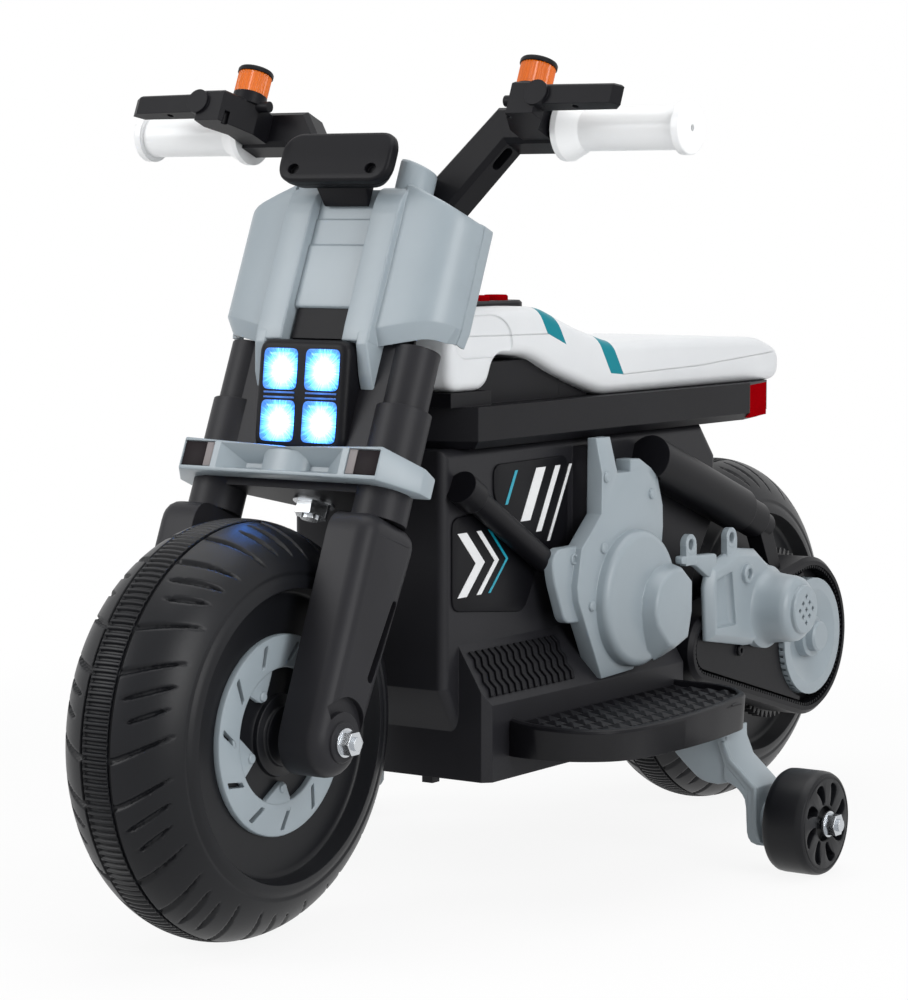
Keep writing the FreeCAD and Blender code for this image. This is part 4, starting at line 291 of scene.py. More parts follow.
WHITE_BARS = [bar(-62, 234, 267, 11), bar(-44, 226, 267, 6), bar(-31, 219, 267, 3),
              chevron(-133, 212, 20, 10), chevron(-112, 212, 20, 5)]
TEAL_BARS = [bar(-80, 246, 267, 3), chevron(-99, 212, 20, 2.5)]
field_face = BODY_HALF + FIELD_RISE
field = join("side_field_left", *[slab_x("side_field_left", rounded(corners, 8), BODY_HALF - 1, field_face)
                                  for corners in (UPPER_FIELD, LOWER_FIELD)])
soften(field, 0.5)
fit_pair(field, "side_field", black_pp, "chassis", "black_plastic")
for stem, bars, vinyl in (("white_sticker", WHITE_BARS, white_vinyl), ("teal_sticker", TEAL_BARS, teal_vinyl)):
    cuts = [slab_x(stem, corners, field_face - 0.2, field_face + VINYL_RISE) for corners in bars]
    fit_pair(join(stem + "_left", *cuts), stem, vinyl, "chassis", "white_plastic")

# Shin panels.
# The sloping top of each sill is moulded with a zigzag tread inside a flat border.
ZIGZAGS, ZIGZAG_PITCH = 14, 7.2
ZIGZAG_TEETH, ZIGZAG_STEP = 6, 2.6
RIB_WIDTH, RIB_RISE = 3.6, 1.6
SHIN_FRONT = -124.0
SHIN_LOW = Vector((80.0, 126.0))
SHIN_HIGH = Vector((58.0, 162.0))
SHIN_FOOT, SHIN_HEAD = 0.13, 0.87


def on_shin(along, up, proud):
    """A point of the sloping sill top: along the bike, up the slope from 0 to 1, and proud of it."""
    slope = SHIN_HIGH - SHIN_LOW
    place = SHIN_LOW + slope * up + Vector((slope.y, -slope.x)).normalized() * proud
    return world(place.x, along, place.y)


def repeat(name, piece, places):
    """Copies of one moulding at several places, put together as one piece."""
    copies = []
    for place in places:
        copies.append(copied(piece, name))
        copies[-1].data.transform(place)
    bpy.data.objects.remove(piece)
    return join(name, *copies)


zigzag = [(SHIN_FOOT + (SHIN_HEAD - SHIN_FOOT) * t / ZIGZAG_TEETH, SHIN_FRONT + ZIGZAG_STEP * (t % 2))
          for t in range(ZIGZAG_TEETH + 1)]
outline = [on_shin(along, up, 0) for up, along in zigzag]
outline += [on_shin(along + RIB_WIDTH, up, 0) for up, along in reversed(zigzag)]
rib = block("rib", outline, on_shin(0, 0, RIB_RISE) - on_shin(0, 0, 0))
tread = repeat("shin_tread_left", rib, [Matrix.Translation(world(0, k * ZIGZAG_PITCH, 0)) for k in range(ZIGZAGS)])
fit_pair(tread, "shin_tread", black_pp, "chassis", "black_plastic", smooth=10)

# Footrests and accelerator pedal.
# Black trays screwed to the sills, with a tread of low pyramids inside a raised rim.
# The pedal lies on the right one, which has no tread there.
coat(black_pp, "accelerator_pedal")
FOOT_RIM = [(66, -98), (87, -110), (103, -117), (122, -119), (141, -116), (154, -105), (161, -88), (164, -61),
            (163.5, -22), (159, 21), (150.5, 71), (133, 92), (112, 101), (66, 101)]
FOOT_BASE = [(66, -100), (84, -108), (99, -109), (115, -107), (131, -99), (144, -88), (151, -74), (155.5, -52),
             (157, -15), (156, 22), (150, 69), (133, 90), (112, 99), (66, 99)]
FOOT_LOW, FOOT_FLOOR, FOOT_SHOULDER, FOOT_TOP = 92.0, 111.0, 112.5, 115.0
RIM_STEPS = [(0.6, 1.5), (1.9, 1.0), (2.0, 0.0), (1.0, -0.6), (0.6, FOOT_FLOOR + 0.6 - FOOT_TOP)]
PYRAMID, PYRAMID_RISE = 13.0, 2.4
TREAD_ROWS = [(86, -84, 86), (99, -97, 86), (112, -97, 86), (125, -97, 86), (138, -97, 73), (151, -71, 47)]
PEDAL_SIDE, PEDAL_END = 144, 18


def redraw(piece, before, after):
    """Pull the corners of one outline to those of another."""
    for vertex in piece.data.vertices:
        near = min(range(len(before)), key=lambda k: (before[k] - vertex.co).length)
        if (before[near] - vertex.co).length < 0.01 * MM:
            vertex.co = after[near]


def pick(piece, kind, test):
    """Open a piece with only those edges or faces selected whose corners, in mm, all pass the test."""
    only(piece)
    bpy.ops.object.mode_set(mode="EDIT")
    bpy.ops.mesh.select_mode(type=kind)
    bpy.ops.mesh.select_all(action="DESELECT")
    close()
    corners = piece.data.vertices
    for item in piece.data.edges if kind == "EDGE" else piece.data.polygons:
        item.select = all(test(corners[k].co / MM) for k in item.vertices)
    bpy.ops.object.mode_set(mode="EDIT")


def draw_in(piece, test, steps):
    """Inset the picked face again and again, by steps of (inwards, outwards) in mm."""
    pick(piece, "FACE", test)
    for inward, rise in steps:
        bpy.ops.mesh.inset(thickness=inward * MM, depth=rise * MM)
    close()


def pyramids(name, keep):
    """Rows of four-sided points standing on the floor of the tray."""
    bpy.ops.object.select_all(action="DESELECT")
    bpy.ops.mesh.primitive_cone_add(vertices=4, radius1=PYRAMID * 0.68 * MM, radius2=PYRAMID * 0.07 * MM,
                                    depth=PYRAMID_RISE * MM)
    point = bpy.context.object
    point.data.transform(Matrix.Rotation(math.pi / 4, 4, "Z"))
    places = [(x, low + k * PYRAMID) for x, low, high in TREAD_ROWS for k in range(int((high - low) / PYRAMID) + 1)]
    return repeat(name, point, [Matrix.Translation(world(x, y, FOOT_FLOOR + PYRAMID_RISE / 2))
                                for x, y in places if keep(x, y)])


rim, base = rounded(FOOT_RIM, 12, 4), rounded(FOOT_BASE, 12, 4)
tray = block("tray", [world(*p, FOOT_SHOULDER) for p in rim], world(0, 0, FOOT_LOW - FOOT_SHOULDER))
redraw(tray, [world(*p, FOOT_LOW) for p in rim], [world(*p, FOOT_LOW) for p in base])
draw_in(tray, lambda p: p.z > FOOT_SHOULDER - 0.1, RIM_STEPS)
fit_pair(tray, "footrest", black_pp, "chassis", "black_plastic", solid=True, smooth=40)
left_tread = pyramids("footrest_tread_left", lambda x, y: True)
fit(left_tread, black_pp, "chassis", "black_plastic", smooth=8)
right_tread = mirror(pyramids("footrest_tread_right", lambda x, y: y > PEDAL_END or x > PEDAL_SIDE))
fit(right_tread, black_pp, "chassis", "black_plastic", smooth=8)

# Engine covers.
# Silver-grey dummy casings clipped over a pad on each shell: plate, ear, round lid and faceted dome.
# Polypropylene with a little pearl in it, moulded smooth, so that its highlights are soft and broad.
grey_pp = moulded("silver_grey_polypropylene", "#8d989f", "#9aa5ac", 0.36, 1.5, 0.03, 0.9, IOR=1.5)
COVER_BACK, COVER_FACE = 70.0, 82.0
COVER_OUTLINE = [(0, 284), (17.1, 284), (18.5, 260.3), (34.9, 260.3), (34.9, 268.2), (46, 268.2), (75.9, 254),
                 (77, 220.8), (69.5, 165.5), (39.5, 129.2), (0, 127.6), (-3.3, 133.9), (-28.4, 180.5),
                 (-30, 190.8), (-24.7, 214.5), (-0.6, 235)]
STRAP_CREASE, STRAP_TOP, STRAP_DROP = 261.0, 283.0, 5.0
LUG_CREASE, LUG_DROP = (46, 268.2), 4.0
EAR_OUTLINE = [(-15, 216), (-44.6, 216), (-52, 209.5), (-49.8, 196), (-36.8, 167), (-15, 166)]
EAR_FACE, EAR_ROUND = 77.0, 1.5
LID = (37.0, 177.0)
LID_SECTION = [(0, 0), (45, 0), (45, 16), (44.6, 18), (43.4, 19.7), (41.6, 20.7), (39.5, 21), (0, 21)]
DOME = (57.0, 167.0)
DOME_FACE, DOME_TOP = 90.0, 102.0
DOME_BASE = [(-22.5, 0), (-22, 10), (-17, 20), (-7, 27.5), (4, 30.5), (15, 30.5), (27, 19), (27, -3), (22, -24),
             (7, -31), (-5, -33), (-15, -26), (-20.5, -12)]
DOME_RIM = [(-21.5, 0), (-20.5, 9), (-16, 18), (-6, 24.5), (4, 27.5), (12.5, 27.5), (25.5, 18), (25.5, -2),
            (20.5, -19), (5, -23.5), (-4, -22), (-12.5, -14), (-19, -7)]
COVER_BOSSES = [(4.2, 258.7), (61.5, 243.7), (1.0, 212.9), (-13.2, 176.6)]
EAR_BOSS = (-27.6, 208.0)
BOSS_SECTION = [(2.1, 0), (3.6, 0), (3.6, 1), (3.2, 1.6), (2.6, 1.6), (2.1, 1)]


def weld(piece):
    """Merge what meets in a mesh, and turn its faces outwards."""
    open_all(piece)
    bpy.ops.mesh.remove_doubles(threshold=0.01 * MM)
    bpy.ops.mesh.delete_loose()
    bpy.ops.mesh.select_all(action="SELECT")
    bpy.ops.mesh.normals_make_consistent(inside=False)
    close()


def turned(name, section, steps, angle=2 * math.pi):
    """Section of (radius, height) turned about the Z axis."""
    piece = outlined(name, [world(radius, 0, height) for radius, height in section], "NOTHING")
    open_all(piece)
    bpy.ops.mesh.spin(steps=steps, angle=angle, center=(0, 0, 0), axis=(0, 0, 1))
    close()
    return piece


def spun(name, section, place, steps=64):
    """Solid of a closed section turned about its own axis, then put in place."""
    piece = turned(name, section, steps)
    weld(piece)
    piece.data.transform(place)
    return piece


def facing_x(x, y, z):
    """Place of a turned piece whose axis points to the left side of the bike."""
    return Matrix.Translation(world(x, y, z)) @ Matrix.Rotation(math.pi / 2, 4, "Y")


def crease(piece, point, normal):
    """Fold line cut right through a piece."""
    open_all(piece)
    bpy.ops.mesh.bisect(plane_co=point, plane_no=normal)
    close()


def round_edges(piece, width, segments, test):
    """Round the edges whose two ends both pass the test."""
    pick(piece, "EDGE", test)
    bpy.ops.mesh.bevel(offset=width * MM, segments=segments, affect="EDGES", clamp_overlap=True)
    close()


def crown_edge(piece, radius, steps, test):
    """Draw the picked face inwards and out over a rounded edge."""
    angles = [math.pi / 2 * k / steps for k in range(steps + 1)]
    draw_in(piece, test, [(radius * (math.cos(low) - math.cos(high)), radius * (math.sin(high) - math.sin(low)))
                          for low, high in zip(angles, angles[1:])])


def crowned_slab(name, pairs, low, high, radius, steps):
    """Solid of an outline in Y and Z whose outer face is rounded off."""
    piece = slab_x(name, pairs, low, high - radius)
    crown_edge(piece, radius, steps, lambda p: p.x > high - radius - 0.1)
    return piece


def on_dome(pairs):
    """Outline about the middle of the dome, at its top."""
    return [world(DOME_TOP, DOME[0] + y, DOME[1] + z) for y, z in pairs]


plate = slab_x("plate", COVER_OUTLINE, COVER_BACK, COVER_FACE)
crease(plate, world(0, 0, STRAP_CREASE), (0, 0, 1))
crease(plate, world(0, *LUG_CREASE), (0, 0.74, 0.67))
for vertex in plate.data.vertices:
    x, y, z = vertex.co / MM
    if x > COVER_FACE - 1 and z > STRAP_TOP:
        vertex.co.x -= STRAP_DROP * MM
    elif x > COVER_FACE - 1 and y > 75 and z > 250:
        vertex.co.x -= LUG_DROP * MM
soften(plate, 1.4, 3, 40)
ear = crowned_slab("ear", rounded(EAR_OUTLINE, 7), COVER_BACK, EAR_FACE, EAR_ROUND, 3)
lid = spun("lid", LID_SECTION, facing_x(COVER_BACK, *LID), 96)
dome = slab_x("dome", [(DOME[0] + y, DOME[1] + z) for y, z in DOME_BASE], DOME_FACE, DOME_TOP)
redraw(dome, on_dome(DOME_BASE), on_dome(DOME_RIM))
round_edges(dome, 2.2, 3, lambda p: p.x > DOME_TOP - 0.1)
bosses = [spun("boss", BOSS_SECTION, facing_x(x, *spot), 24)
          for x, spot in [(COVER_FACE, spot) for spot in COVER_BOSSES] + [(EAR_FACE, EAR_BOSS)]]
fit_pair(join("engine_cover", plate, ear, lid, dome, *bosses), "engine_cover", grey_pp, "chassis", "grey_plastic",
         solid=True, smooth=30)
coat(grey_pp, "cover_screws")

# Dummy down tubes and shocks, belt guards and pulleys.
# Black tubes and guards and grey toothed pulleys, plugged into the shells; the rear axle runs through the guards.
# A toothed belt is moulded round the inside of each guard, and a flat panel with a peg fills its nose.
coat(black_pp, "down_tube_left", "down_tube_right", "rear_shock_left", "rear_shock_right", "belt_guard_left",
     "belt_guard_right")
coat(grey_pp, "pulley_covers")
REAR_AXLE = (281.0, 125.0)
GUARD_FRONT = (134.0, 132.0)
GUARD_INNER = (51.0, 18.0)
GUARD_FLOOR, GUARD_FACE = 74.0, 85.0
BELT_TEETH = 150
TOOTH = [(-1.1, -0.6), (1.1, -0.6), (0.7, 2.2), (-0.7, 2.2)]
PANEL_INNER = (47.4, 14.4)
PANEL_FACE = 83.5
PULLEY_ROOM = 44.5
PEG = (178.0, 126.0)
PEG_SECTION = [(1.8, -3), (4, -3), (4, 2), (3.4, 2.6), (1.8, 2.6)]


def polar(middle, radius, degrees):
    """A flat point at a distance and an angle from a middle."""
    angle = math.radians(degrees)
    return middle[0] + radius * math.cos(angle), middle[1] + radius * math.sin(angle)


def arc(middle, radius, start, end, steps=14):
    """Points on a flat arc, angles in degrees."""
    return [polar(middle, radius, start + (end - start) * k / steps) for k in range(steps + 1)]


def tangents(rear, front):
    """Angles at which the straight sides of a guard leave its two arcs."""
    along = Vector(GUARD_FRONT) - Vector(REAR_AXLE)
    base, turn = math.degrees(math.atan2(along.y, along.x)), math.degrees(math.acos((rear - front) / along.length))
    return base - turn, base + turn


def guard_line(rear, front, count):
    """Evenly spaced points and forward directions round the inner edge of a belt guard."""
    low, high = tangents(rear, front)
    loop = arc(REAR_AXLE, rear, high, low + 360, 60) + arc(GUARD_FRONT, front, low, high, 30)
    loop = [Vector(point) for point in loop]
    lengths = [(loop[k] - loop[k - 1]).length for k in range(len(loop))]
    places, k, walked = [], 0, 0.0
    for tooth in range(count):
        goal = sum(lengths) * tooth / count
        while walked + lengths[(k + 1) % len(loop)] < goal:
            k += 1
            walked += lengths[k % len(loop)]
        start, end = loop[k % len(loop)], loop[(k + 1) % len(loop)]
        way = (end - start).normalized()
        places.append((start + way * (goal - walked), way))
    return places


tooth = slab_x("tooth", TOOTH, GUARD_FLOOR + 1, GUARD_FACE - 1)
belt = repeat("belt_teeth_left", tooth, [
    Matrix.Translation(world(0, *spot)) @ Matrix.Rotation(math.atan2(way.y, way.x), 4, "X")
    for spot, way in guard_line(*GUARD_INNER, BELT_TEETH)])
fit_pair(belt, "belt_teeth", black_pp, "chassis", "black_plastic")
low, high = tangents(*PANEL_INNER)
outline = arc(GUARD_FRONT, PANEL_INNER[1], low, high, 24) + [polar(REAR_AXLE, PANEL_INNER[0], high)]
outline += arc(REAR_AXLE, PULLEY_ROOM, high, low, 30) + [polar(REAR_AXLE, PANEL_INNER[0], low)]
panel = slab_x("panel", outline, GUARD_FLOOR - 0.5, PANEL_FACE)
peg = spun("peg", PEG_SECTION, facing_x(PANEL_FACE, *PEG), 24)
fit_pair(join("guard_panel_left", panel, peg), "guard_panel", black_pp, "chassis", "black_plastic")

# Motor covers.
# A grey plate with bevelled flanks and a pocket sits on each belt guard; loops on its edge stand for
# fixing eyes, and the round can over the motor ends in a vented disc.
MOTOR = (204.446, 154.386)
PLATE_BACK, PLATE_FACE, PLATE_FLOOR = 85.0, 93.0, 87.5
PLATE_OUTLINE = [(124.5, 138.6), (121.8, 176), (127, 190), (161, 199.5), (190.2, 196.3), (207.7, 185.2),
                 (234, 173.4), (234, 128), (178.5, 129.7)]
POCKET_OUTLINE = [(132, 147), (131, 180), (152, 184), (158, 147)]
WING_OUTLINE = [(88, 194.8), (108.4, 191.9), (126, 182), (136, 182), (136, 198), (88, 200)]
CAN_SECTION = [(0, 0), (29, 0), (29, 6.5), (27, 8), (25.6, 10.5), (24.6, 14), (23.8, 20), (23.2, 27), (22.4, 30.4),
               (20.6, 32.6), (18.5, 33.6), (17.2, 34), (17, 36.3), (16.2, 37.3), (15, 37.5), (0, 37.5)]
VENT, VENT_STEP = [(-2, 0), (0, -2), (2, 0), (0, 2)], 4.6
EYES = [(87.5, 101.1, 207), (87.5, 156.6, 207), (94, 171, 181)]
EYE_SECTION = [(3.5, -2.5), (7, -2.5), (7, 1.8), (6.3, 2.5), (4.2, 2.5), (3.5, 1.8)]
NECK = [(-6.9, -14), (6.9, -14), (6.9, 0), (3.4, -3.6), (-3.4, -3.6), (-6.9, 0)]


def carve(piece, *tools, operation="DIFFERENCE"):
    """Cut tools out of a piece, or weld them on."""
    for tool in tools:
        apply_modifier(piece, "BOOLEAN", operation=operation, solver="EXACT", object=tool)
        bpy.data.objects.remove(tool)


plate = slab_x("plate", PLATE_OUTLINE, PLATE_BACK, PLATE_FACE)
round_edges(plate, 5, 1, lambda p: p.x > PLATE_FACE - 0.1)
pocket = slab_x("pocket", POCKET_OUTLINE, PLATE_FLOOR, PLATE_FACE + 2)
round_edges(pocket, 4, 3, lambda p: p.x < PLATE_FLOOR + 0.1)
carve(plate, pocket)
soften(plate, 0.8)
wing = crowned_slab("wing", rounded(WING_OUTLINE, 4), PLATE_BACK, PLATE_BACK + 5, 1, 2)
can = spun("can", CAN_SECTION, facing_x(PLATE_BACK, *MOTOR), 72)
carve(can, repeat("vents", slab_x("vent", VENT, 119, 125), [
    Matrix.Translation(world(0, MOTOR[0] + (column - row) * VENT_STEP, MOTOR[1] + (column + row - 2) * VENT_STEP))
    for row in range(3) for column in range(3)]))
eyes = [spun("eye", EYE_SECTION, facing_x(*spot), 32) for spot in EYES]
necks = repeat("necks", slab_x("neck", NECK, PLATE_BACK + 0.1, PLATE_BACK + 4.9),
               [Matrix.Translation(world(0, y, z)) for x, y, z in EYES[:2]])
fit_pair(join("motor_cover", plate, wing, can, necks, *eyes), "motor_cover", grey_pp, "chassis", "grey_plastic",
         solid=True, smooth=28)

# Stabilisers.
# Grey cast-look arms hang under the footrests: a bent strip with a web in front and a bead along its edge.
# Each carries a small blown wheel on a zinc-plated bolt.
STABILISER = (177.0, 75.0, 34.0)
ARM_FRONT, ARM_REAR, ARM_WEB = 60.0, 91.0, 66.0
ARM_OUTER = [(139, 92), (139.6, 84), (144.6, 72.5), (164, 55.4), (164.6, 32), (165.6, 25), (168, 20), (171, 17.4)]
ARM_INNER = [(164, 17.4), (160, 19.2), (157.6, 23), (157, 32), (156.6, 52), (139, 69), (134, 83), (133.4, 92)]
ARM_FACE = [(139, 92), (139, 58), (142.4, 56.5), (146.4, 55), (149.8, 52.6), (152.6, 49.8), (154.6, 46.6),
            (155.6, 41), (155.9, 33.7), (156.4, 25.4), (157.4, 21.6), (159.6, 18.8), (163.8, 17.4), (168, 17.4),
            (165, 25), (162, 32), (161.6, 54), (143.6, 70.4), (139.6, 84)]
ARM_BACK = [(98, 92), (98.6, 76), (101, 71.9), (108.6, 65), (117, 58), (121, 55.9), (125.5, 54.7), (132.9, 54.1),
            (139.6, 55.6), (139.6, 92)]
ARM_BEAD = [(139.6, 84), (144.6, 72.5), (164, 55.4), (164.6, 32), (165.6, 25), (168, 20), (166, 19), (162.6, 25),
            (161.4, 32), (160.9, 53.8), (142, 70.6), (136.8, 83)]
ARM_SHELF = [(98, 88), (139, 88), (139, 92), (98, 92)]
SPACER_SECTION = [(4.2, -8), (11, -8), (11, 11.4), (10.4, 12), (4.2, 12)]
STABILISER_SECTION = [(4.2, 0), (29, 0), (32.6, 0.8), (33.7, 2.6), (34, 6), (34, 24), (33.7, 27), (32.6, 29.2),
                      (30.8, 30), (30.3, 29.4), (29.6, 29.4), (29.2, 30), (12, 29.4), (11.4, 28.6), (11.2, 24),
                      (4.2, 24)]
WINDOWS, WINDOW_SWEEP = 8, 0.9
WINDOW = [(12.8, -10), (16, -13.5), (21, -15), (25.5, -13.5), (27.4, -8), (27.4, 2), (26, 7.5), (21, 6), (16, 5),
          (12.8, 7)]
tyre_pe = moulded("blown_polyethylene", "#0d0e11", "#16171b", 0.38, 1.2, 0.05, 0.8, specular=0.22)
zinc = moulded("zinc_plated_steel", "#b9bdc2", "#d6d9dc", 0.24, 0.8, 0.03, 0.4, Metallic=1.0)


def slab_y(name, pairs, low, high):
    """Solid of an outline in X and Z, between two places along the bike."""
    return block(name, [world(x, low, z) for x, z in pairs], world(0, high - low, 0))


arm = [slab_y("strip", ARM_OUTER + ARM_INNER, ARM_FRONT, ARM_REAR),
       slab_y("web", ARM_FACE, ARM_FRONT + 0.6, ARM_WEB),
       slab_y("wall", ARM_BACK, ARM_FRONT + 2.4, ARM_WEB),
       slab_y("bead", ARM_BEAD, ARM_FRONT - 1.2, ARM_FRONT + 2)]
for piece in arm:
    soften(piece, 0.9, 3)
arm.append(slab_y("shelf", ARM_SHELF, ARM_FRONT + 3, ARM_REAR))
arm.append(spun("spacer", SPACER_SECTION, facing_x(164, *STABILISER[1:]), 40))
fit_pair(join("arm", *arm), "stabiliser_arm", grey_pp, "chassis", "grey_plastic", solid=True, smooth=28)
windows = []
for number in range(WINDOWS):
    line = [polar(STABILISER[1:], r, 360 / WINDOWS * number + a + WINDOW_SWEEP * r) for r, a in WINDOW]
    windows.append(slab_x("window", rounded(line, 2, 4), STABILISER[0] + 22, STABILISER[0] + 34))
wheel = spun("wheel", STABILISER_SECTION, facing_x(*STABILISER), 96)
carve(wheel, join("windows", *windows))
soften(wheel, 0.5, 2, 50)
fit_pair(wheel, "stabiliser_wheel", tyre_pe, "stabiliser_left", "tyre", solid=True, smooth=30)
coat(zinc, "steering_stem", "steering_nuts", "front_axle", "rear_axle", "chassis_nuts", "stabiliser_axles",
     "drive_motor")

# Wheels.
# Each is blow moulded in one piece from black polyethylene: tyre, dish and hub together.
# The tread has a ribbed middle band between two thin grooves, and slanted cuts and slits on both flanks.
FRONT_AXLE = (-281.0, 125.0)
WHEEL_RADIUS = 125.0
ARC_RADIUS, ARC_MIDDLE = 45.47, 79.53
TREAD_LOW = 86.7
STEPS_ROUND = 720
REPEATS = 10
RIB_STEPS, RIB_END, RIB_DEPTH = 4, 8.5, 1.7
GROOVE, GROOVE_END, GROOVE_DEPTH = (9.1, 10.9), 11.2, 2.0
SHOULDER, SHOULDER_END, SHOULDER_DEPTH = 54.8, 57.0, 0.8
SLITS = [(0.0, 11.0, 47.0, False), (0.25, 18.0, 42.0, True), (0.44, 14.0, 44.0, True), (0.645, 11.0, 48.0, False)]
SLIT_HALF, SLIT_DEPTH = 2.0, 2.2
SLIT_SHIFT, SLIT_FROM, SLIT_SPAN, SLIT_CURVE = 17.0, 11.0, 36.0, 1.2
SLIT_POINT, SLIT_FLANK, SLIT_END = 0.6, 2.2, 0.4
FLANK = [11.4 + 1.5 * k for k in range(28)]
ACROSS = [0, 2.6, 5.2, 7.8, 8.3, 8.9, 9.3, 10.7] + FLANK + [53.4, 54.6, 55.4, 56.4, 58.5, 61, 63, 64.2]
DISH = [(44.2, 86.6), (42.5, 85.4), (34.5, 84.6), (33.2, 83.4), (33, 81), (33, 60), (33, 40), (33, 26),
        (33.6, 24.3), (36.6, 24), (37, 23.4), (37, 18.6), (37.6, 18), (39.6, 17.8), (40, 17.2), (40, 4.4)]


def tread_depth(step, across):
    """How far the tread is cut back at a step round the wheel and a distance from its middle."""
    if across < RIB_END:
        return RIB_DEPTH if step % RIB_STEPS < RIB_STEPS / 2 else 0.0
    if across < GROOVE_END:
        return GROOVE_DEPTH if GROOVE[0] < across < GROOVE[1] else 0.0
    if across > SHOULDER:
        return SHOULDER_DEPTH if across < SHOULDER_END else 0.0
    radius = ARC_MIDDLE + ARC_RADIUS * math.cos(across / ARC_RADIUS)
    period = STEPS_ROUND / REPEATS
    deepest = 0.0
    for share, low, high, pointed in SLITS:
        t = (across - low) / (high - low)
        if not 0 <= t <= 1:
            continue
        shift = SLIT_SHIFT * ((across - SLIT_FROM) / SLIT_SPAN) ** SLIT_CURVE
        shift *= STEPS_ROUND / (2 * math.pi * WHEEL_RADIUS)
        away = (step - share * period - shift + period / 2) % period - period / 2
        away = abs(away) * 2 * math.pi * radius / STEPS_ROUND
        taper = math.sin(math.pi * (t if pointed else 0.5 + t / 2))
        half = SLIT_HALF * max(taper, 0.0) ** SLIT_POINT
        if away < half:
            flank, end = min(1.0, SLIT_FLANK * (1 - away / half)), min(1.0, SLIT_END + half / SLIT_HALF)
            deepest = max(deepest, SLIT_DEPTH * flank * end)
    return deepest


def blown_wheel(name, axle):
    """Closed section turned about the axle, with the tread pressed into it."""
    half = [(ARC_RADIUS * math.sin(s / ARC_RADIUS), ARC_MIDDLE + ARC_RADIUS * math.cos(s / ARC_RADIUS))
            for s in ACROSS] + DISH
    section = [(r, x) for x, r in half] + [(r, -x) for x, r in reversed(half[1:])]
    part = turned(name, section, STEPS_ROUND // REPEATS, 2 * math.pi / REPEATS)
    piece = repeat(name, part, [Matrix.Rotation(2 * math.pi * k / REPEATS, 4, "Z") for k in range(REPEATS)])
    for vertex in piece.data.vertices:
        x, radius = vertex.co.z / MM, vertex.co.xy.length / MM
        if abs(math.hypot(x, radius - ARC_MIDDLE) - ARC_RADIUS) > 0.2 or radius < TREAD_LOW:
            continue
        across = ARC_RADIUS * math.atan2(abs(x), radius - ARC_MIDDLE)
        step = round(math.atan2(vertex.co.y, vertex.co.x) * STEPS_ROUND / (2 * math.pi))
        depth = tread_depth(step % STEPS_ROUND, across) * MM
        out = Vector((x, radius - ARC_MIDDLE)).normalized()
        shrink = 1 - depth * out.y / vertex.co.xy.length
        vertex.co = (vertex.co.x * shrink, vertex.co.y * shrink, vertex.co.z - depth * out.x)
    turn = Matrix(((0, 0, 1, 0), (-1, 0, 0, 0), (0, 1, 0, 0), (0, 0, 0, 1)))
    piece.data.transform(Matrix.Translation(world(0, *axle)) @ turn)
    weld(piece)
    return piece


fit(blown_wheel("wheel", REAR_AXLE), tyre_pe, "rear_wheel", "tyre", "rear_tyre", smooth=50)
fit(blown_wheel("wheel", FRONT_AXLE), tyre_pe, "front_wheel", "tyre", "front_tyre", smooth=50)

# Brake-disc trims.
# Grey rings pressed on the front wheel's dish: oblique slits through the ring, and tabs that run in to a rivet.
DISC_BACK, DISC_FACE = 33.0, 37.0
DISC_SECTION = [(40, 0), (59.5, 0), (59.5, 2.8), (59, 3.7), (58.2, 4), (40.6, 4), (40, 3.4)]
DISC_TABS, FIRST_TAB = 5, 54
DISC_SLITS, FIRST_SLIT = 11, 77
TAB_LINE = [(47, -24), (40.4, -24), (29.2, -7), (26.8, 0), (29.2, 7), (40.4, 12), (47, 12)]
SLIT_LINE = [(55.8, -6.4), (55.8, -2.4), (44, 7), (44, 2)]
RIVET_AT = 31.0
RIVET_SECTION = [(0, 0), (2.9, 0), (2.9, 1), (2.2, 1.6), (0, 1.6)]


def round_axle(line, turn):
    """Outline given by radius and angle, turned about the front axle."""
    return [polar(FRONT_AXLE, r, a + turn) for r, a in line]


disc = spun("disc", DISC_SECTION, facing_x(DISC_BACK, *FRONT_AXLE), 120)
slits = [rounded(round_axle(SLIT_LINE, FIRST_SLIT + 360 / DISC_SLITS * k), 1) for k in range(DISC_SLITS)]
carve(disc, join("slits", *[slab_x("slit", line, DISC_BACK - 2, DISC_FACE + 2) for line in slits]))
tabs = []
for k in range(DISC_TABS):
    turn = FIRST_TAB + 360 / DISC_TABS * k
    tabs.append(crowned_slab("tab", rounded(round_axle(TAB_LINE, turn), 4), DISC_BACK + 0.2, DISC_FACE - 0.4, 0.6, 2))
    rivet = facing_x(DISC_FACE - 0.5, *polar(FRONT_AXLE, RIVET_AT, turn))
    tabs.append(spun("rivet", RIVET_SECTION, rivet, 24))
disc = join("disc", disc, *tabs)
disc = join("disc", disc, mirror(copied(disc, "disc_right")))
fit(disc, grey_pp, "front_wheel", "grey_plastic", "front_discs", smooth=30)

# Gear pair.
# Black nylon gear on the rear wheel and pinion on the motor shaft, out of sight between wheel and guard.
gear_nylon = moulded("black_nylon", "#121214", "#1c1c1f", 0.45, 1.0, 0.03, 0.4, IOR=1.53)
coat(gear_nylon, "drive_gear", "motor_pinion")

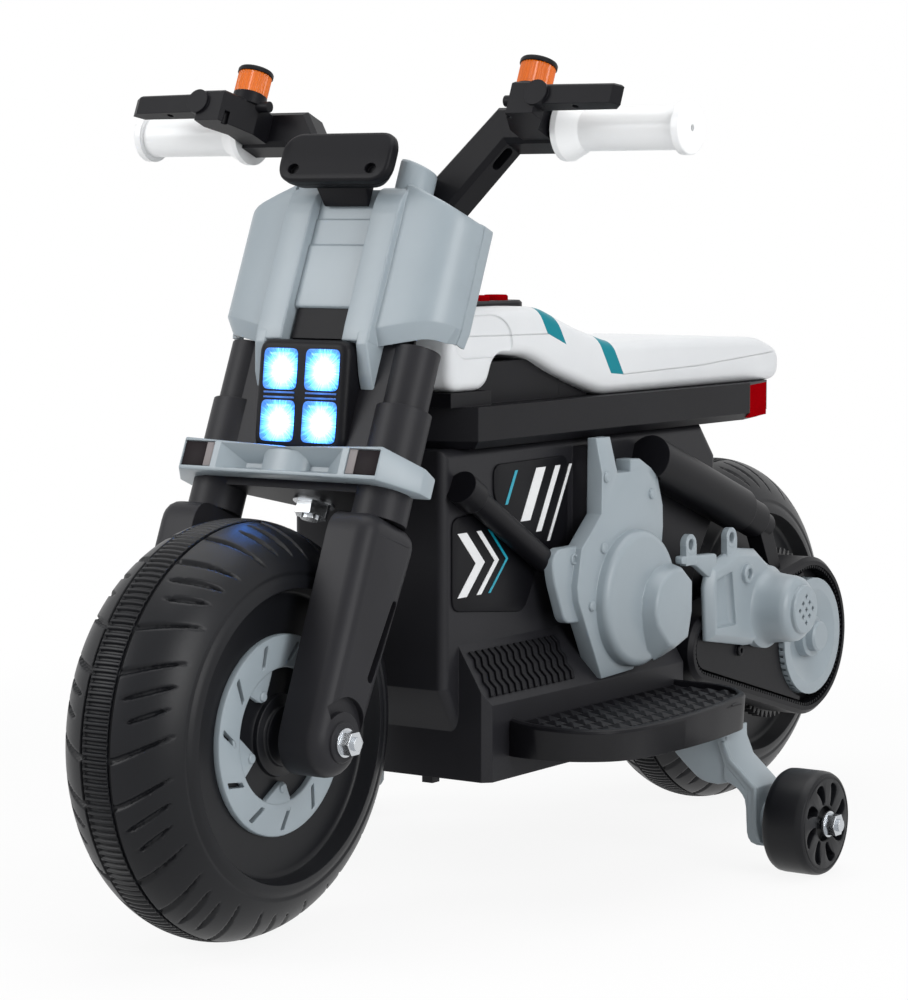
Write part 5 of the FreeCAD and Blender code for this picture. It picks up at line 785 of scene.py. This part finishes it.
# Seat rail, seat, control panel and tail lamps.
# The seat and tank are one glossy white blow moulding on a black rail, with a shallow knee hollow and fine
# parting lines on each side; two teal stripes are masked and sprayed across it where tank meets seat.
coat(black_pp, "seat_rail", "control_panel", "charge_socket")
SEAT_LINE = [(-144, 319), (-144, 358), (-127.2, 370), (-43.2, 370), (0.9, 355.6), (45, 344.5), (171, 343.6),
             (246.6, 341.2), (276, 331.6), (273.9, 310), (32.4, 310), (-22.2, 326.8), (-51.6, 338.8),
             (-93.6, 341.2), (-102, 319)]
SEAT_HALF, SEAT_ROUND, SEAT_CLEAR = 62.0, 7.0, 66.0
KNEE_LINE = [(-138, 339.2), (-138, 366), (-91, 366), (-75.5, 356), (-75.5, 337), (-94, 339.6)]
KNEE_DEPTH = 1.6
PARTINGS = [(2.1, [(-136, 353.2), (-76, 352.5)]), (0.6, [(-76, 352.5), (-34, 352)]),
            (0.6, [(57, 322.4), (156, 324.2), (268, 330.4)])]
PARTING_HALF = 0.25
RAKE = math.radians(22.5)
STEER_FOOT = (-257.903, 115.433)
NOTCH = [(0, 0), (26.8, 0), (26.8, 160), (0, 160)]
NOTCH_FOOT = 190.0
POCKET_MIDDLE, POCKET_HALF, POCKET_FLOOR = -63.0, (33.0, 47.0), 366.8
PLINTH_END = [(-6.2, 308), (-6.2, 321.4), (28, 310.9), (28, 308)]
PLINTH_HALF = 52.0
STRIPE_SLANT = (0, 1, 0.7)
STRIPES = [(220.1, 8.5, (0, 0.35, 1), 340.2), (276.5, 7.6, (0, 0.085, 1), 327.4)]
STRIPE_SHEEN = 0.1


def raked(x, back, up):
    """A point of the steering: aside, behind the steering axis and up along it, in mm."""
    return world(x, STEER_FOOT[0] + back * math.cos(RAKE) + up * math.sin(RAKE),
                 STEER_FOOT[1] + up * math.cos(RAKE) - back * math.sin(RAKE))


def standing(x, back, up):
    """Place of a turned piece whose axis runs along the steering axis."""
    return Matrix.Translation(raked(x, back, up)) @ Matrix.Rotation(-RAKE, 4, "X")


def rectangle(wide, high):
    """Corners of a rectangle from its half sizes."""
    return [(-wide, -high), (wide, -high), (wide, high), (-wide, high)]


def striped(material, paint):
    """Sprayed bands over a moulding: each has a middle, a half width and a rising lower edge, in mm."""
    skin = material.node_tree.nodes["Principled BSDF"]
    colour = skin.inputs["Base Color"].links[0].from_socket
    sheen = skin.inputs["Specular IOR Level"].default_value
    place = add_node(material, "TexCoord").outputs["Object"]
    across = add_node(material, "VectorMath", {0: place, 1: STRIPE_SLANT}, operation="DOT_PRODUCT")
    for middle, half, rise, low in STRIPES:
        within = add_node(material, "Math", {0: across, 1: middle * MM, 2: half * MM}, operation="COMPARE")
        level = add_node(material, "VectorMath", {0: place, 1: rise}, operation="DOT_PRODUCT")
        above = add_node(material, "Math", {0: level, 1: low * MM}, operation="GREATER_THAN")
        share = add_node(material, "Math", {0: within, 1: above}, operation="MULTIPLY")
        colour = add_node(material, "Mix", {0: share, 6: colour, 7: linear(paint)}, data_type="RGBA")
        sheen = add_node(material, "Mix", {0: share, 2: sheen, 3: STRIPE_SHEEN})
    material.node_tree.links.new(colour.outputs[2], skin.inputs["Base Color"])
    material.node_tree.links.new(sheen.outputs[0], skin.inputs["Specular IOR Level"])
    return material


seat = slab_x("seat", rounded(SEAT_LINE, 12, 8), SEAT_ROUND - SEAT_HALF, SEAT_HALF - SEAT_ROUND)
for side in (1, -1):
    crown_edge(seat, SEAT_ROUND, 6, lambda p: p.x * side > SEAT_HALF - SEAT_ROUND - 0.1)
for side in (1, -1):
    knee = slab_x("knee", rounded(KNEE_LINE, 12), (SEAT_HALF - KNEE_DEPTH) * side, SEAT_CLEAR * side)
    round_edges(knee, 1.2, 3, lambda p: abs(p.x) < SEAT_HALF - 1)
    carve(seat, knee)
    for depth, line in PARTINGS:
        band = [(y, z + PARTING_HALF) for y, z in line] + [(y, z - PARTING_HALF) for y, z in reversed(line)]
        carve(seat, slab_x("groove", band, (SEAT_HALF - depth) * side, SEAT_CLEAR * side))
notch = spun("notch", NOTCH, standing(0, 0, NOTCH_FOOT))
pocket = block("pocket", [world(x, POCKET_MIDDLE + y, POCKET_FLOOR) for x, y in rectangle(*POCKET_HALF)],
               world(0, 0, 12))
carve(seat, notch, pocket)
fit(slab_x("seat_plinth_end", PLINTH_END, -PLINTH_HALF, PLINTH_HALF), black_pp, "chassis", "black_plastic")
seat_pp = striped(moulded("striped_polypropylene", "#d6d9dc", "#dfe1e3", 0.3, 0.6, 0.004, 1.2, IOR=1.5), "#007e8c")
fit(seat, seat_pp, "chassis", "white_plastic", "seat", smooth=30)
# Painted glow: a faint red emission lifts the tail lamps and the start and horn buttons alike.
painted_glow_red_lens = moulded("red_acrylic", "#7a0107", "#9c030b", 0.5, 2.0, 0.02, 0.6, specular=0.0,
                   **{"Emission Color": linear("#a00208"), "Emission Strength": 0.12})
coat(painted_glow_red_lens, "tail_lamps", "start_button", "horn_button")

# Fork legs and crown.
# Thick black shells with rounded outer edges, a long slot near the rear edge and a crescent over the axle boss.
# A web closes the crown between its tubes.
AXLE = (-25.0, 0.0)
LEG_INNER, LEG_OUTER, LEG_ROUND = 50.0, 80.0, 10.5
LEG_OUTLINE = rounded([(-46.8, 0), (-47, 135), (8, 135), (-3.4, 0)], 15)[7:21] + arc(AXLE, 21.5, 0, -180)
CRESCENT = arc((-25, 1), 16.5, 15, 150) + arc((-25, 6), 20.5, 150, 15)
LEG_SLOT = arc((-5, 88), 3, 0, 180, 8) + arc((-12, 42), 3, 180, 360, 8)
AXLE_BOSS = [(4.3, 0), (12, 0), (12, 1), (11.5, 1.5), (4.3, 1.5)]
BACK, UP = raked(0, 1, 0) - raked(0, 0, 0), raked(0, 0, 1) - raked(0, 0, 0)


def raked_slab(name, pairs, low, high):
    """Solid of a side outline of the steering, between two distances from the middle plane."""
    return block(name, [raked(low, b, u) for b, u in pairs], world(high - low, 0, 0))


def raked_face(across, levels, back):
    """Corners of a rectangle along the steering axis, given by its two sides, its two levels and its place."""
    (left, right), (low, high) = across, levels
    return [raked(x, back, u) for x, u in ((left, low), (right, low), (right, high), (left, high))]


def raked_box(name, across, levels, back, depth):
    """Such a rectangle, drawn out backwards to a box."""
    return block(name, raked_face(across, levels, back), BACK * depth)


leg = raked_slab("leg", LEG_OUTLINE, LEG_INNER, LEG_OUTER - LEG_ROUND)
crown_edge(leg, LEG_ROUND, 6, lambda p: p.x > LEG_OUTER - LEG_ROUND - 0.1)
carve(leg, raked_slab("crescent", CRESCENT, 76, 90), raked_slab("slot", LEG_SLOT, 74, 90))
boss = spun("boss", AXLE_BOSS, facing_x(*raked(LEG_OUTER, *AXLE) / MM), 48)
# The fork legs and crown take the lighter black with the painted sheen.
fit_pair(join("leg", leg, boss), "fork_leg", painted_sheen_black, "steering", "black_plastic", solid=True)
coat(painted_sheen_black, "fork_crown")
web = raked_box("crown_web", (-60, 60), (196, 250), -18.6, 3)
soften(web, 0.6)
fit(web, black_pp, "steering", "black_plastic")

# Bumper.
# A grey bar round the fork tubes: its front sinks to a trough with a half-round post in the middle, and a dark
# reflector with a pale strip sits in a frame at each end.
BAR_HALF = [(74, -44), (91, -20), (91, -8), (79, -8), (62, -32)]
BAR_LOW, BAR_HIGH, BAR_FRONT = 153.0, 174.0, -44.0
BAR_FALL, BAR_DIP = 9 / 41, 3.0
TROUGH_FRONT, TROUGH_BACK = -46.0, -33.6
TROUGH_MOUTH, TROUGH_FLOOR = ((-48.8, 48.8), (154.5, 172.9)), ((-31, 31), (159, 162))
POST = [(17.5 * math.cos(a), -33.4 + 10.2 * math.sin(a)) for a in [math.pi * (1 + k / 24) for k in range(25)]]
POST_LOW, POST_HIGH = 154.0, 168.0
POST_CROWN, POST_FALL = 169.4, 0.22
REFLECTORS = [("reflector_plates", 56.8, 72.8, "#1a1517", "#221c1f", ["bumper_reflectors"]),
              ("reflector_strips", 50.8, 56.6, "#857f80", "#959090", [])]


def on_rake(point):
    """How far a point in mm lies behind the steering axis, and how far up along it."""
    y, z = point.y - STEER_FOOT[0], point.z - STEER_FOOT[1]
    return y * math.cos(RAKE) - z * math.sin(RAKE), y * math.sin(RAKE) + z * math.cos(RAKE)


plan = [(0, -44)] + BAR_HALF + [(0, -32)] + [(-x, b) for x, b in reversed(BAR_HALF)]
bumper = block("bumper", [raked(x, b, BAR_LOW) for x, b in plan], UP * (BAR_HIGH - BAR_LOW))
for vertex in bumper.data.vertices:
    back, level = on_rake(vertex.co / MM)
    if level > BAR_HIGH - 1:
        dip = BAR_DIP if abs(vertex.co.x) < MM else 0
        vertex.co -= UP * (BAR_FALL * (back - BAR_FRONT) + dip)
soften(bumper, 1.2)
trough = raked_box("trough", *TROUGH_MOUTH, TROUGH_FRONT, TROUGH_BACK - TROUGH_FRONT)
redraw(trough, raked_face(*TROUGH_MOUTH, TROUGH_BACK), raked_face(*TROUGH_FLOOR, TROUGH_BACK))
carve(bumper, trough)
post = block("post", [raked(x, b, POST_LOW) for x, b in POST], UP * (POST_HIGH - POST_LOW))
redraw(post, [raked(x, b, POST_HIGH) for x, b in POST],
       [raked(x, b, POST_CROWN - POST_FALL * (b - BAR_FRONT)) for x, b in POST])
carve(bumper, post, operation="UNION")
for side in (1, -1):
    carve(bumper, raked_box("hole", (50.4 * side, 73.2 * side), (155.6, 171.6), -46, 3.5))
fit(bumper, grey_pp, "steering", "grey_plastic", "bumper", smooth=25)
for name, near, far, deep, pale, nodes in REFLECTORS:
    plate = join(name, *[raked_box(name, (near * side, far * side), (156, 171.2), -42.2, -1.2) for side in (1, -1)])
    soften(plate, 0.3)
    acrylic = moulded(name + "_acrylic", deep, pale, 0.4, 1.5, 0.02, 0.3, specular=0.06)
    fit(plate, acrylic, "steering", "reflector", *nodes)

# Front cowl.
# A grey shield in one moulding: two ribs, two curved wings with a flange, a stepped middle and round caps.
# Each row of a wing is given by its rise from the foot or from the brow, and by how far it draws back.
WING_LINE = [(42, -37), (44.6, -36.8), (58, -35.4), (68, -33.8), (72.4, -32.4), (76, -30.2), (79.2, -27), (81.8, -23),
             (83.8, -18.6), (85.2, -14.6), (86, -11.8), (86, -10.8), (87, -10.4), (87, -2)]
FOOT_ROWS = [(0, 6), (9.6, 0.2), (10.4, 0), (14, 0)]
BROW_ROWS = [(-6, 0), (-2.4, 0), (-1.2, 0.35), (-0.4, 1.2), (0, 2.4), (0, None)]
WING_FOOT, FOOT_CLIMB = 240.0, 10.0
WING_BROW, BROW_CLIMB = 343.0, -17.0
WING_START, WING_SPAN = 45.0, 42.0
FLANGE_FROM, FLANGE_SHARE = 10, 0.3
ROOF_REACH, ROOF_SHARE, ROOF_BACK = 78.0, 0.94, -4.0
DRAFT_FROM, DRAFT_SPAN, DRAFT_OUTER, DRAFT_INNER = -30.0, 12.0, -2.6, 2.0
RIB_SIDE = [(-14, 240), (-40.6, 240), (-41.3, 249), (-41.3, 322), (-40.8, 329), (-39.2, 335), (-36.6, 339.5),
            (-33, 342), (-29, 343), (-14, 343)]
TIP_SIDE = [(-41, 246), (-40.8, 238), (-31.6, 221.5), (-24.2, 212), (-21, 207.5), (-14, 208), (-17, 220), (-24, 246)]
MIDDLE = [(340, -34.3), (321, -34.3), (320, -35), (304, -35), (302.6, -36.1), (265, -36.1), (263.4, -35.6),
          (262.6, -34.6), (262.6, -30)]
CAP_SECTION = [(0, 0), (12, 0), (12, 23), (11.4, 24.4), (10, 25), (0, 25)]
CAP_SLANT = 0.3


def sheet(name, across, up, place):
    """Grid of mesh with each corner pulled to its place."""
    bpy.ops.object.select_all(action="DESELECT")
    bpy.ops.mesh.primitive_grid_add(x_subdivisions=across, y_subdivisions=up, size=2)
    piece = bpy.context.object
    piece.name = piece.data.name = name
    for vertex in piece.data.vertices:
        i = round((vertex.co.x + 1) / 2 * across)
        j = round((vertex.co.y + 1) / 2 * up)
        vertex.co = place(i, j)
    return piece


def wing_place(i, j):
    """Stations of the left wing: a chamfered foot, the flank, a rounded brow and the roof."""
    x, b = WING_LINE[i]
    share = max(0.0, (x - WING_START) / WING_SPAN)
    rise, retreat = (FOOT_ROWS + BROW_ROWS)[j]
    level = WING_FOOT + FOOT_CLIMB * share if j < len(FOOT_ROWS) else WING_BROW + BROW_CLIMB * share
    if retreat is None:
        return raked(min(x, ROOF_REACH) * ROOF_SHARE, ROOF_BACK, level + rise)
    before, after = WING_LINE[max(i - 1, 0)], WING_LINE[min(i + 1, len(WING_LINE) - 1)]
    inward = Vector((before[1] - after[1], after[0] - before[0])).normalized()
    inward *= retreat * (1 if i < FLANGE_FROM else FLANGE_SHARE)
    return raked(x + inward.x, b + inward.y, level + rise)


wing = sheet("wing", len(WING_LINE) - 1, len(FOOT_ROWS + BROW_ROWS) - 1, wing_place)
apply_modifier(wing, "SOLIDIFY", thickness=2.5 * MM, offset=-1)
rib = raked_slab("rib", RIB_SIDE, 21, 45)
tip = raked_slab("tip", TIP_SIDE, 34.2, 44.4)
for piece in (rib, tip):
    for vertex in piece.data.vertices:
        ahead = max(0.0, DRAFT_FROM - on_rake(vertex.co / MM)[0]) / DRAFT_SPAN
        draft = DRAFT_OUTER if vertex.co.x > 40 * MM else DRAFT_INNER if vertex.co.x < 30 * MM else 0
        vertex.co.x += draft * ahead * MM
    round_edges(piece, 1.1, 3, lambda p: True)
left = join("left", wing, rib, tip)
right = mirror(copied(left, "right"))
panel = sheet("middle", 2, len(MIDDLE) - 1, lambda i, j: raked((i - 1) * 22, MIDDLE[j][1], MIDDLE[j][0]))
cap = spun("cap", CAP_SECTION, Matrix.Identity(4), 48)
for vertex in cap.data.vertices:
    if vertex.co.z > 10 * MM:
        vertex.co.z -= (vertex.co.x + 12 * MM) * CAP_SLANT
cap.data.transform(standing(38, -24, 338))
cowl = join("cowl", left, right, panel, cap, mirror(copied(cap, "cap_right")))
fit(cowl, grey_pp, "steering", "grey_plastic", "front_cowl", smooth=24)
slot_back = raked_box("cowl_slot", (-21, 21), (240, 266), -26, 2)
soften(slot_back, 0.5)
fit(slot_back, black_pp, "steering", "black_plastic")

# Headlamp lenses.
# Four square acrylic lenses in a black bezel, each with a raised rim and lit by one diode: white where the diode
# shows through, blue towards the rim. Two thin light bars lie between the upper and the lower pair.
LAMP_TILT = math.radians(16)
LAMP_MIDDLE = (-38.0, 205.0)
BEZEL_HALF, BEZEL_ROUND, BEZEL_BACK = 34.0, 4.5, 16.0
LENS_HALF, LENS_STEP = 12.5, 15.75
LENS_BACK, LENS_FACE = 3.5, -0.6
LENS_STEPS = [(0.5, 0.4), (1.2, 0), (0.8, -0.7), (6, 0.5)]
DIODE = (1.6, -1.0)
STRIP = rectangle(11.5, 0.55)
STRIP_BACK, STRIP_FACE, STRIP_LEVEL = 1.0, -0.5, 1.5


def on_lamp(x, deep, up):
    """A point of the lamp's tilted face: aside, into the lamp and up along the face."""
    return raked(x, LAMP_MIDDLE[0] + deep * math.cos(LAMP_TILT) - up * math.sin(LAMP_TILT),
                 LAMP_MIDDLE[1] + deep * math.sin(LAMP_TILT) + up * math.cos(LAMP_TILT))


def lamp_block(name, x, up, line, back, face):
    """Solid of an outline about a point of the lamp's face, between two depths."""
    return block(name, [on_lamp(x + a, back, up + b) for a, b in line], on_lamp(0, face, 0) - on_lamp(0, back, 0))


def before_lamp(limit):
    """Test whether a point in mm lies no deeper in the lamp than a limit."""
    into = on_lamp(0, 1, 0) - on_lamp(0, 0, 0)
    return lambda p: (p * MM - on_lamp(0, limit, 0)).dot(into) / MM ** 2 < 0.1


def lit_acrylic(name, spread, power):
    """Acrylic lit by a blue-white diode behind it: fluted, glaring near the diode and pale blue at the rim."""
    material = moulded(name, "#23498c", "#3565ad", 0.12, 2.0, 0.02, 0.5, IOR=1.49)
    skin = material.node_tree.nodes["Principled BSDF"]
    place = add_node(material, "UVMap", uv_map="lens")
    away = add_node(material, "VectorMath", {0: place}, operation="LENGTH")
    flutes = add_node(material, "TexGradient", {"Vector": place}, gradient_type="RADIAL").outputs["Fac"]
    rays = add_node(material, "TexNoise", {"W": flutes, "Scale": 70.0, "Detail": 2.0}, noise_dimensions="1D")
    shaken = add_node(material, "Math", {0: rays, 1: 0.6, 2: away}, operation="MULTIPLY_ADD")
    fall = add_node(material, "MapRange", {"Value": shaken, "From Min": spread[0], "From Max": spread[1],
                                           "To Min": 1.0, "To Max": 0.0})
    steep = add_node(material, "Math", {0: fall, 1: 3.0}, operation="POWER")
    glare = add_node(material, "MapRange", {"Value": steep, "To Min": power[0], "To Max": power[1]})
    skin.inputs["Emission Color"].default_value = linear("#4a92ff")
    material.node_tree.links.new(glare.outputs["Result"], skin.inputs["Emission Strength"])
    return material


def chart(piece, middle):
    """Flat chart of a lens: one unit is half its width, with the diode in the middle."""
    layer = piece.data.uv_layers.new(name="lens")
    across, up = on_lamp(1, 0, 0) - on_lamp(0, 0, 0), on_lamp(0, 0, 1) - on_lamp(0, 0, 0)
    for corner in piece.data.loops:
        away = (piece.data.vertices[corner.vertex_index].co - middle) / (MM ** 2 * LENS_HALF)
        layer.data[corner.index].uv = (away.dot(across), away.dot(up))


bezel = lamp_block("bezel", 0, 0, rounded(rectangle(BEZEL_HALF, BEZEL_HALF), 9), BEZEL_BACK, BEZEL_ROUND)
crown_edge(bezel, BEZEL_ROUND, 5, before_lamp(BEZEL_ROUND))
fit(bezel, black_pp, "steering", "black_plastic", "headlamp_housing")
square = rounded(rectangle(LENS_HALF, LENS_HALF), 4)
lenses, strips = [], []
for x in (LENS_STEP, -LENS_STEP):
    for row in (1, -1):
        lens = lamp_block("lens", x, LENS_STEP * row, square, LENS_BACK, LENS_FACE)
        draw_in(lens, before_lamp(LENS_FACE), LENS_STEPS)
        chart(lens, on_lamp(x + DIODE[0], 0, LENS_STEP * row + DIODE[1]))
        lenses.append(lens)
        strip = lamp_block("strip", x, STRIP_LEVEL * row, STRIP, STRIP_BACK, STRIP_FACE)
        chart(strip, on_lamp(x, 0, STRIP_LEVEL * row))
        strips.append(strip)
lamp_lens = lit_acrylic("lit_acrylic", (0.35, 1.75), (0.7, 60.0))
fit(join("lenses", *lenses), lamp_lens, "steering", "lamp_lens", "headlamp_lenses", smooth=20)
bar_lens = lit_acrylic("lit_bar_acrylic", (0.0, 1.6), (0.2, 0.9))
fit(join("headlamp_light_bars", *strips), bar_lens, "steering", "lamp_lens")

# Dash pod.
# Two black shells on the riser meet in a seam round the pod; the front one is bent back along its upper third
# and has two counterbored screw holes. A narrow neck goes down and back between the cowl's ribs.
POD_LINE, POD_MIDDLE = rounded(rectangle(41.5, 16.5), 13, 8), 352.0
POD_FRONT, POD_SEAM, POD_BACK = -60.0, -54.0, -46.0
POD_ROUND, POD_BEND, POD_LEAN = 2.4, 357.0, 0.3
POD_SCREW = (29.0, 343.5)
BORE = [(4.2 * math.cos(a), 3.4 * math.sin(a)) for a in [math.pi * k / 12 for k in range(24)]]
BORE_FRONT, BORE_DEPTH = POD_FRONT - 3, 8.4
NECK_SIDE = [(-36, 328), (-38, 328.4), (-52, 341), (-52, 348), (-36, 348)]


def pod_shell(name, near, far, scale=1):
    """Shell of the pod between two distances ahead of the steering axis."""
    return block(name, [raked(p.x * scale, near, POD_MIDDLE + p.y * scale) for p in POD_LINE], BACK * (far - near))


def narrow(piece, start, share):
    """Draw in the flanks of a piece behind a distance from the steering axis."""
    for vertex in piece.data.vertices:
        if on_rake(vertex.co / MM)[0] > start:
            vertex.co.x *= share


front = pod_shell("front", POD_SEAM, POD_FRONT + POD_ROUND)
crown_edge(front, POD_ROUND, 5, lambda p: on_rake(p)[0] < POD_FRONT + POD_ROUND + 0.1)
for x in (POD_SCREW[0], -POD_SCREW[0]):
    carve(front, block("bore", [raked(x + a, BORE_FRONT, POD_SCREW[1] + b) for a, b in BORE], BACK * BORE_DEPTH))
crease(front, raked(0, 0, POD_BEND), UP)
for vertex in front.data.vertices:
    back, level = on_rake(vertex.co / MM)
    if level > POD_BEND:
        vertex.co += BACK * POD_LEAN * (level - POD_BEND) * (POD_SEAM - back) / (POD_SEAM - POD_FRONT)
core = pod_shell("core", POD_SEAM - 2, POD_SEAM + 3, 0.97)
rear = pod_shell("rear", POD_SEAM + 0.8, POD_BACK)
narrow(rear, POD_BACK - 1, 0.86)
round_edges(rear, 3, 3, lambda p: on_rake(p)[0] > POD_BACK - 1)
neck = raked_slab("neck", NECK_SIDE, -20, 20)
narrow(neck, -40, 0.84)
soften(neck, 2, 3)
fit(join("pod", front, core, rear, neck), black_pp, "steering", "black_plastic", "dash_pod", smooth=32)

# Handlebar, levers, grips and indicators.
# Black two-shell mouldings on the riser, white pushed-on grips and ribbed amber lamps with black caps.
coat(black_pp, "handlebar", "lever_left", "lever_right")
grip_pp = moulded("white_grip_polypropylene", "#f0f2f3", "#f7f8f9", 0.3, 0.6, 0.004, 0.8, IOR=1.5)
coat(grip_pp, "grip_left", "grip_right")
amber_lens = moulded("amber_acrylic", "#b84a02", "#f0800c", 0.14, 2.0, 0.02, 0.6, IOR=1.49,
                     **{"Emission Color": linear("#d85a00"), "Emission Strength": 0.12})
LAMP_POST = (108.0, -24.0)
LAMP_FOOT, LAMP_HEAD = 410.0, 424.0
FLUTES, FLUTE_RADII = 28, (10.9, 10.3)
CAP_TURN = [(0, 0), (11.6, 0), (11.6, 2.2), (11, 3.15), (10, 3.5), (0, 3.5)]
ring = [polar(LAMP_POST, FLUTE_RADII[k % 2], 180 / FLUTES * k) for k in range(2 * FLUTES)]
lamp = block("lamp", [raked(x, b, LAMP_FOOT) for x, b in ring], UP * (LAMP_HEAD - LAMP_FOOT))
lamps = join("lamps", lamp, mirror(copied(lamp, "lamp_right")))
fit(lamps, amber_lens, "steering", "amber_lens", "indicator_lamps", smooth=10)
cap = spun("cap", CAP_TURN, standing(*LAMP_POST, LAMP_HEAD), 48)
caps = join("caps", cap, mirror(copied(cap, "cap_right")))
fit(caps, black_pp, "steering", "black_plastic", "indicator_caps")

# Floor, light and camera.
# A pale sweep under soft boxes: one overhead, one before the bike on its right and a tall one on its left.
# The sweep and the sky look white but throw less light on the bike than they show.
SOFT_BOXES = [((0.1, 0.2, 2.2), (2.0, 2.0), 25), ((-1.2, -1.8, 1.3), (1.2, 1.2), 24),
              ((2.0, -0.7, 1.0), (1.0, 1.4), 25)]
AIM = Vector((0, 0, 0.25))
CAMERA_AT = Vector((1.138, -1.711, 0.427))
CAMERA_AZIMUTH = math.radians(34.42)
CAMERA_FALL = math.radians(5.20)
CAMERA_LENS, CAMERA_SENSOR = 112.4, 36.0
FLOOR_SIZE, FLOOR_GAP = 14.0, 0.0005


def seen_directly(owner):
    """Share of rays that see a surface straight, in a mirror or through glass."""
    ray = add_node(owner, "LightPath").outputs
    direct = add_node(owner, "Math", {0: ray["Is Camera Ray"], 1: ray["Is Glossy Ray"]}, operation="MAXIMUM")
    return add_node(owner, "Math", {0: direct, 1: ray["Is Transmission Ray"]}, operation="MAXIMUM")


bpy.ops.object.select_all(action="DESELECT")
bpy.ops.mesh.primitive_plane_add(size=FLOOR_SIZE, location=(0, 0, cad_box[0].z - FLOOR_GAP))
floor = bpy.context.object
floor.name = "floor"
paper = bare_material("white_paper_sweep")
spot = add_node(paper, "TexCoord").outputs["Object"]
away = add_node(paper, "VectorMath", {0: spot}, operation="LENGTH")
white = add_node(paper, "MapRange", {"Value": away, "From Min": 0.55, "From Max": 1.1, "To Min": 0.9, "To Max": 1.0},
                 interpolation_type="SMOOTHSTEP")
share = add_node(paper, "Math", {0: seen_directly(paper), 1: white}, operation="MULTIPLY")
matt = add_node(paper, "BsdfDiffuse", {"Color": linear("#f4f4f4")})
glow = add_node(paper, "Emission", {"Color": (1, 1, 1, 1), "Strength": 1.0})
add_node(paper, "OutputMaterial", {"Surface": add_node(paper, "MixShader", {0: share, 1: matt, 2: glow})})
floor.data.materials.append(paper)

studio = bpy.data.worlds.new("studio")
bpy.context.scene.world = studio
studio.use_nodes = True
studio.node_tree.nodes.clear()
level = add_node(studio, "MapRange", {"Value": seen_directly(studio), "To Min": 0.3, "To Max": 1.0})
sky = add_node(studio, "Background", {"Color": (1, 1, 1, 1), "Strength": level})
add_node(studio, "OutputWorld", {"Surface": sky})

for number, (spot, size, power) in enumerate(SOFT_BOXES):
    box = bpy.data.lights.new(f"soft_box_{number}", "AREA")
    box.shape = "RECTANGLE"
    box.size, box.size_y = size
    box.energy = power
    lamp = bpy.data.objects.new(f"soft_box_{number}", box)
    bpy.context.scene.collection.objects.link(lamp)
    lamp.location = spot
    lamp.rotation_euler = (AIM - Vector(spot)).to_track_quat("-Z", "Y").to_euler()

optics = bpy.data.cameras.new("camera")
optics.lens = CAMERA_LENS
optics.sensor_width = CAMERA_SENSOR
camera = bpy.data.objects.new("camera", optics)
camera.location = CAMERA_AT
camera.rotation_euler = (math.pi / 2 - CAMERA_FALL, 0, CAMERA_AZIMUTH)
bpy.context.scene.collection.objects.link(camera)
bpy.context.scene.camera = camera
bpy.context.scene.view_settings.view_transform = "Standard"
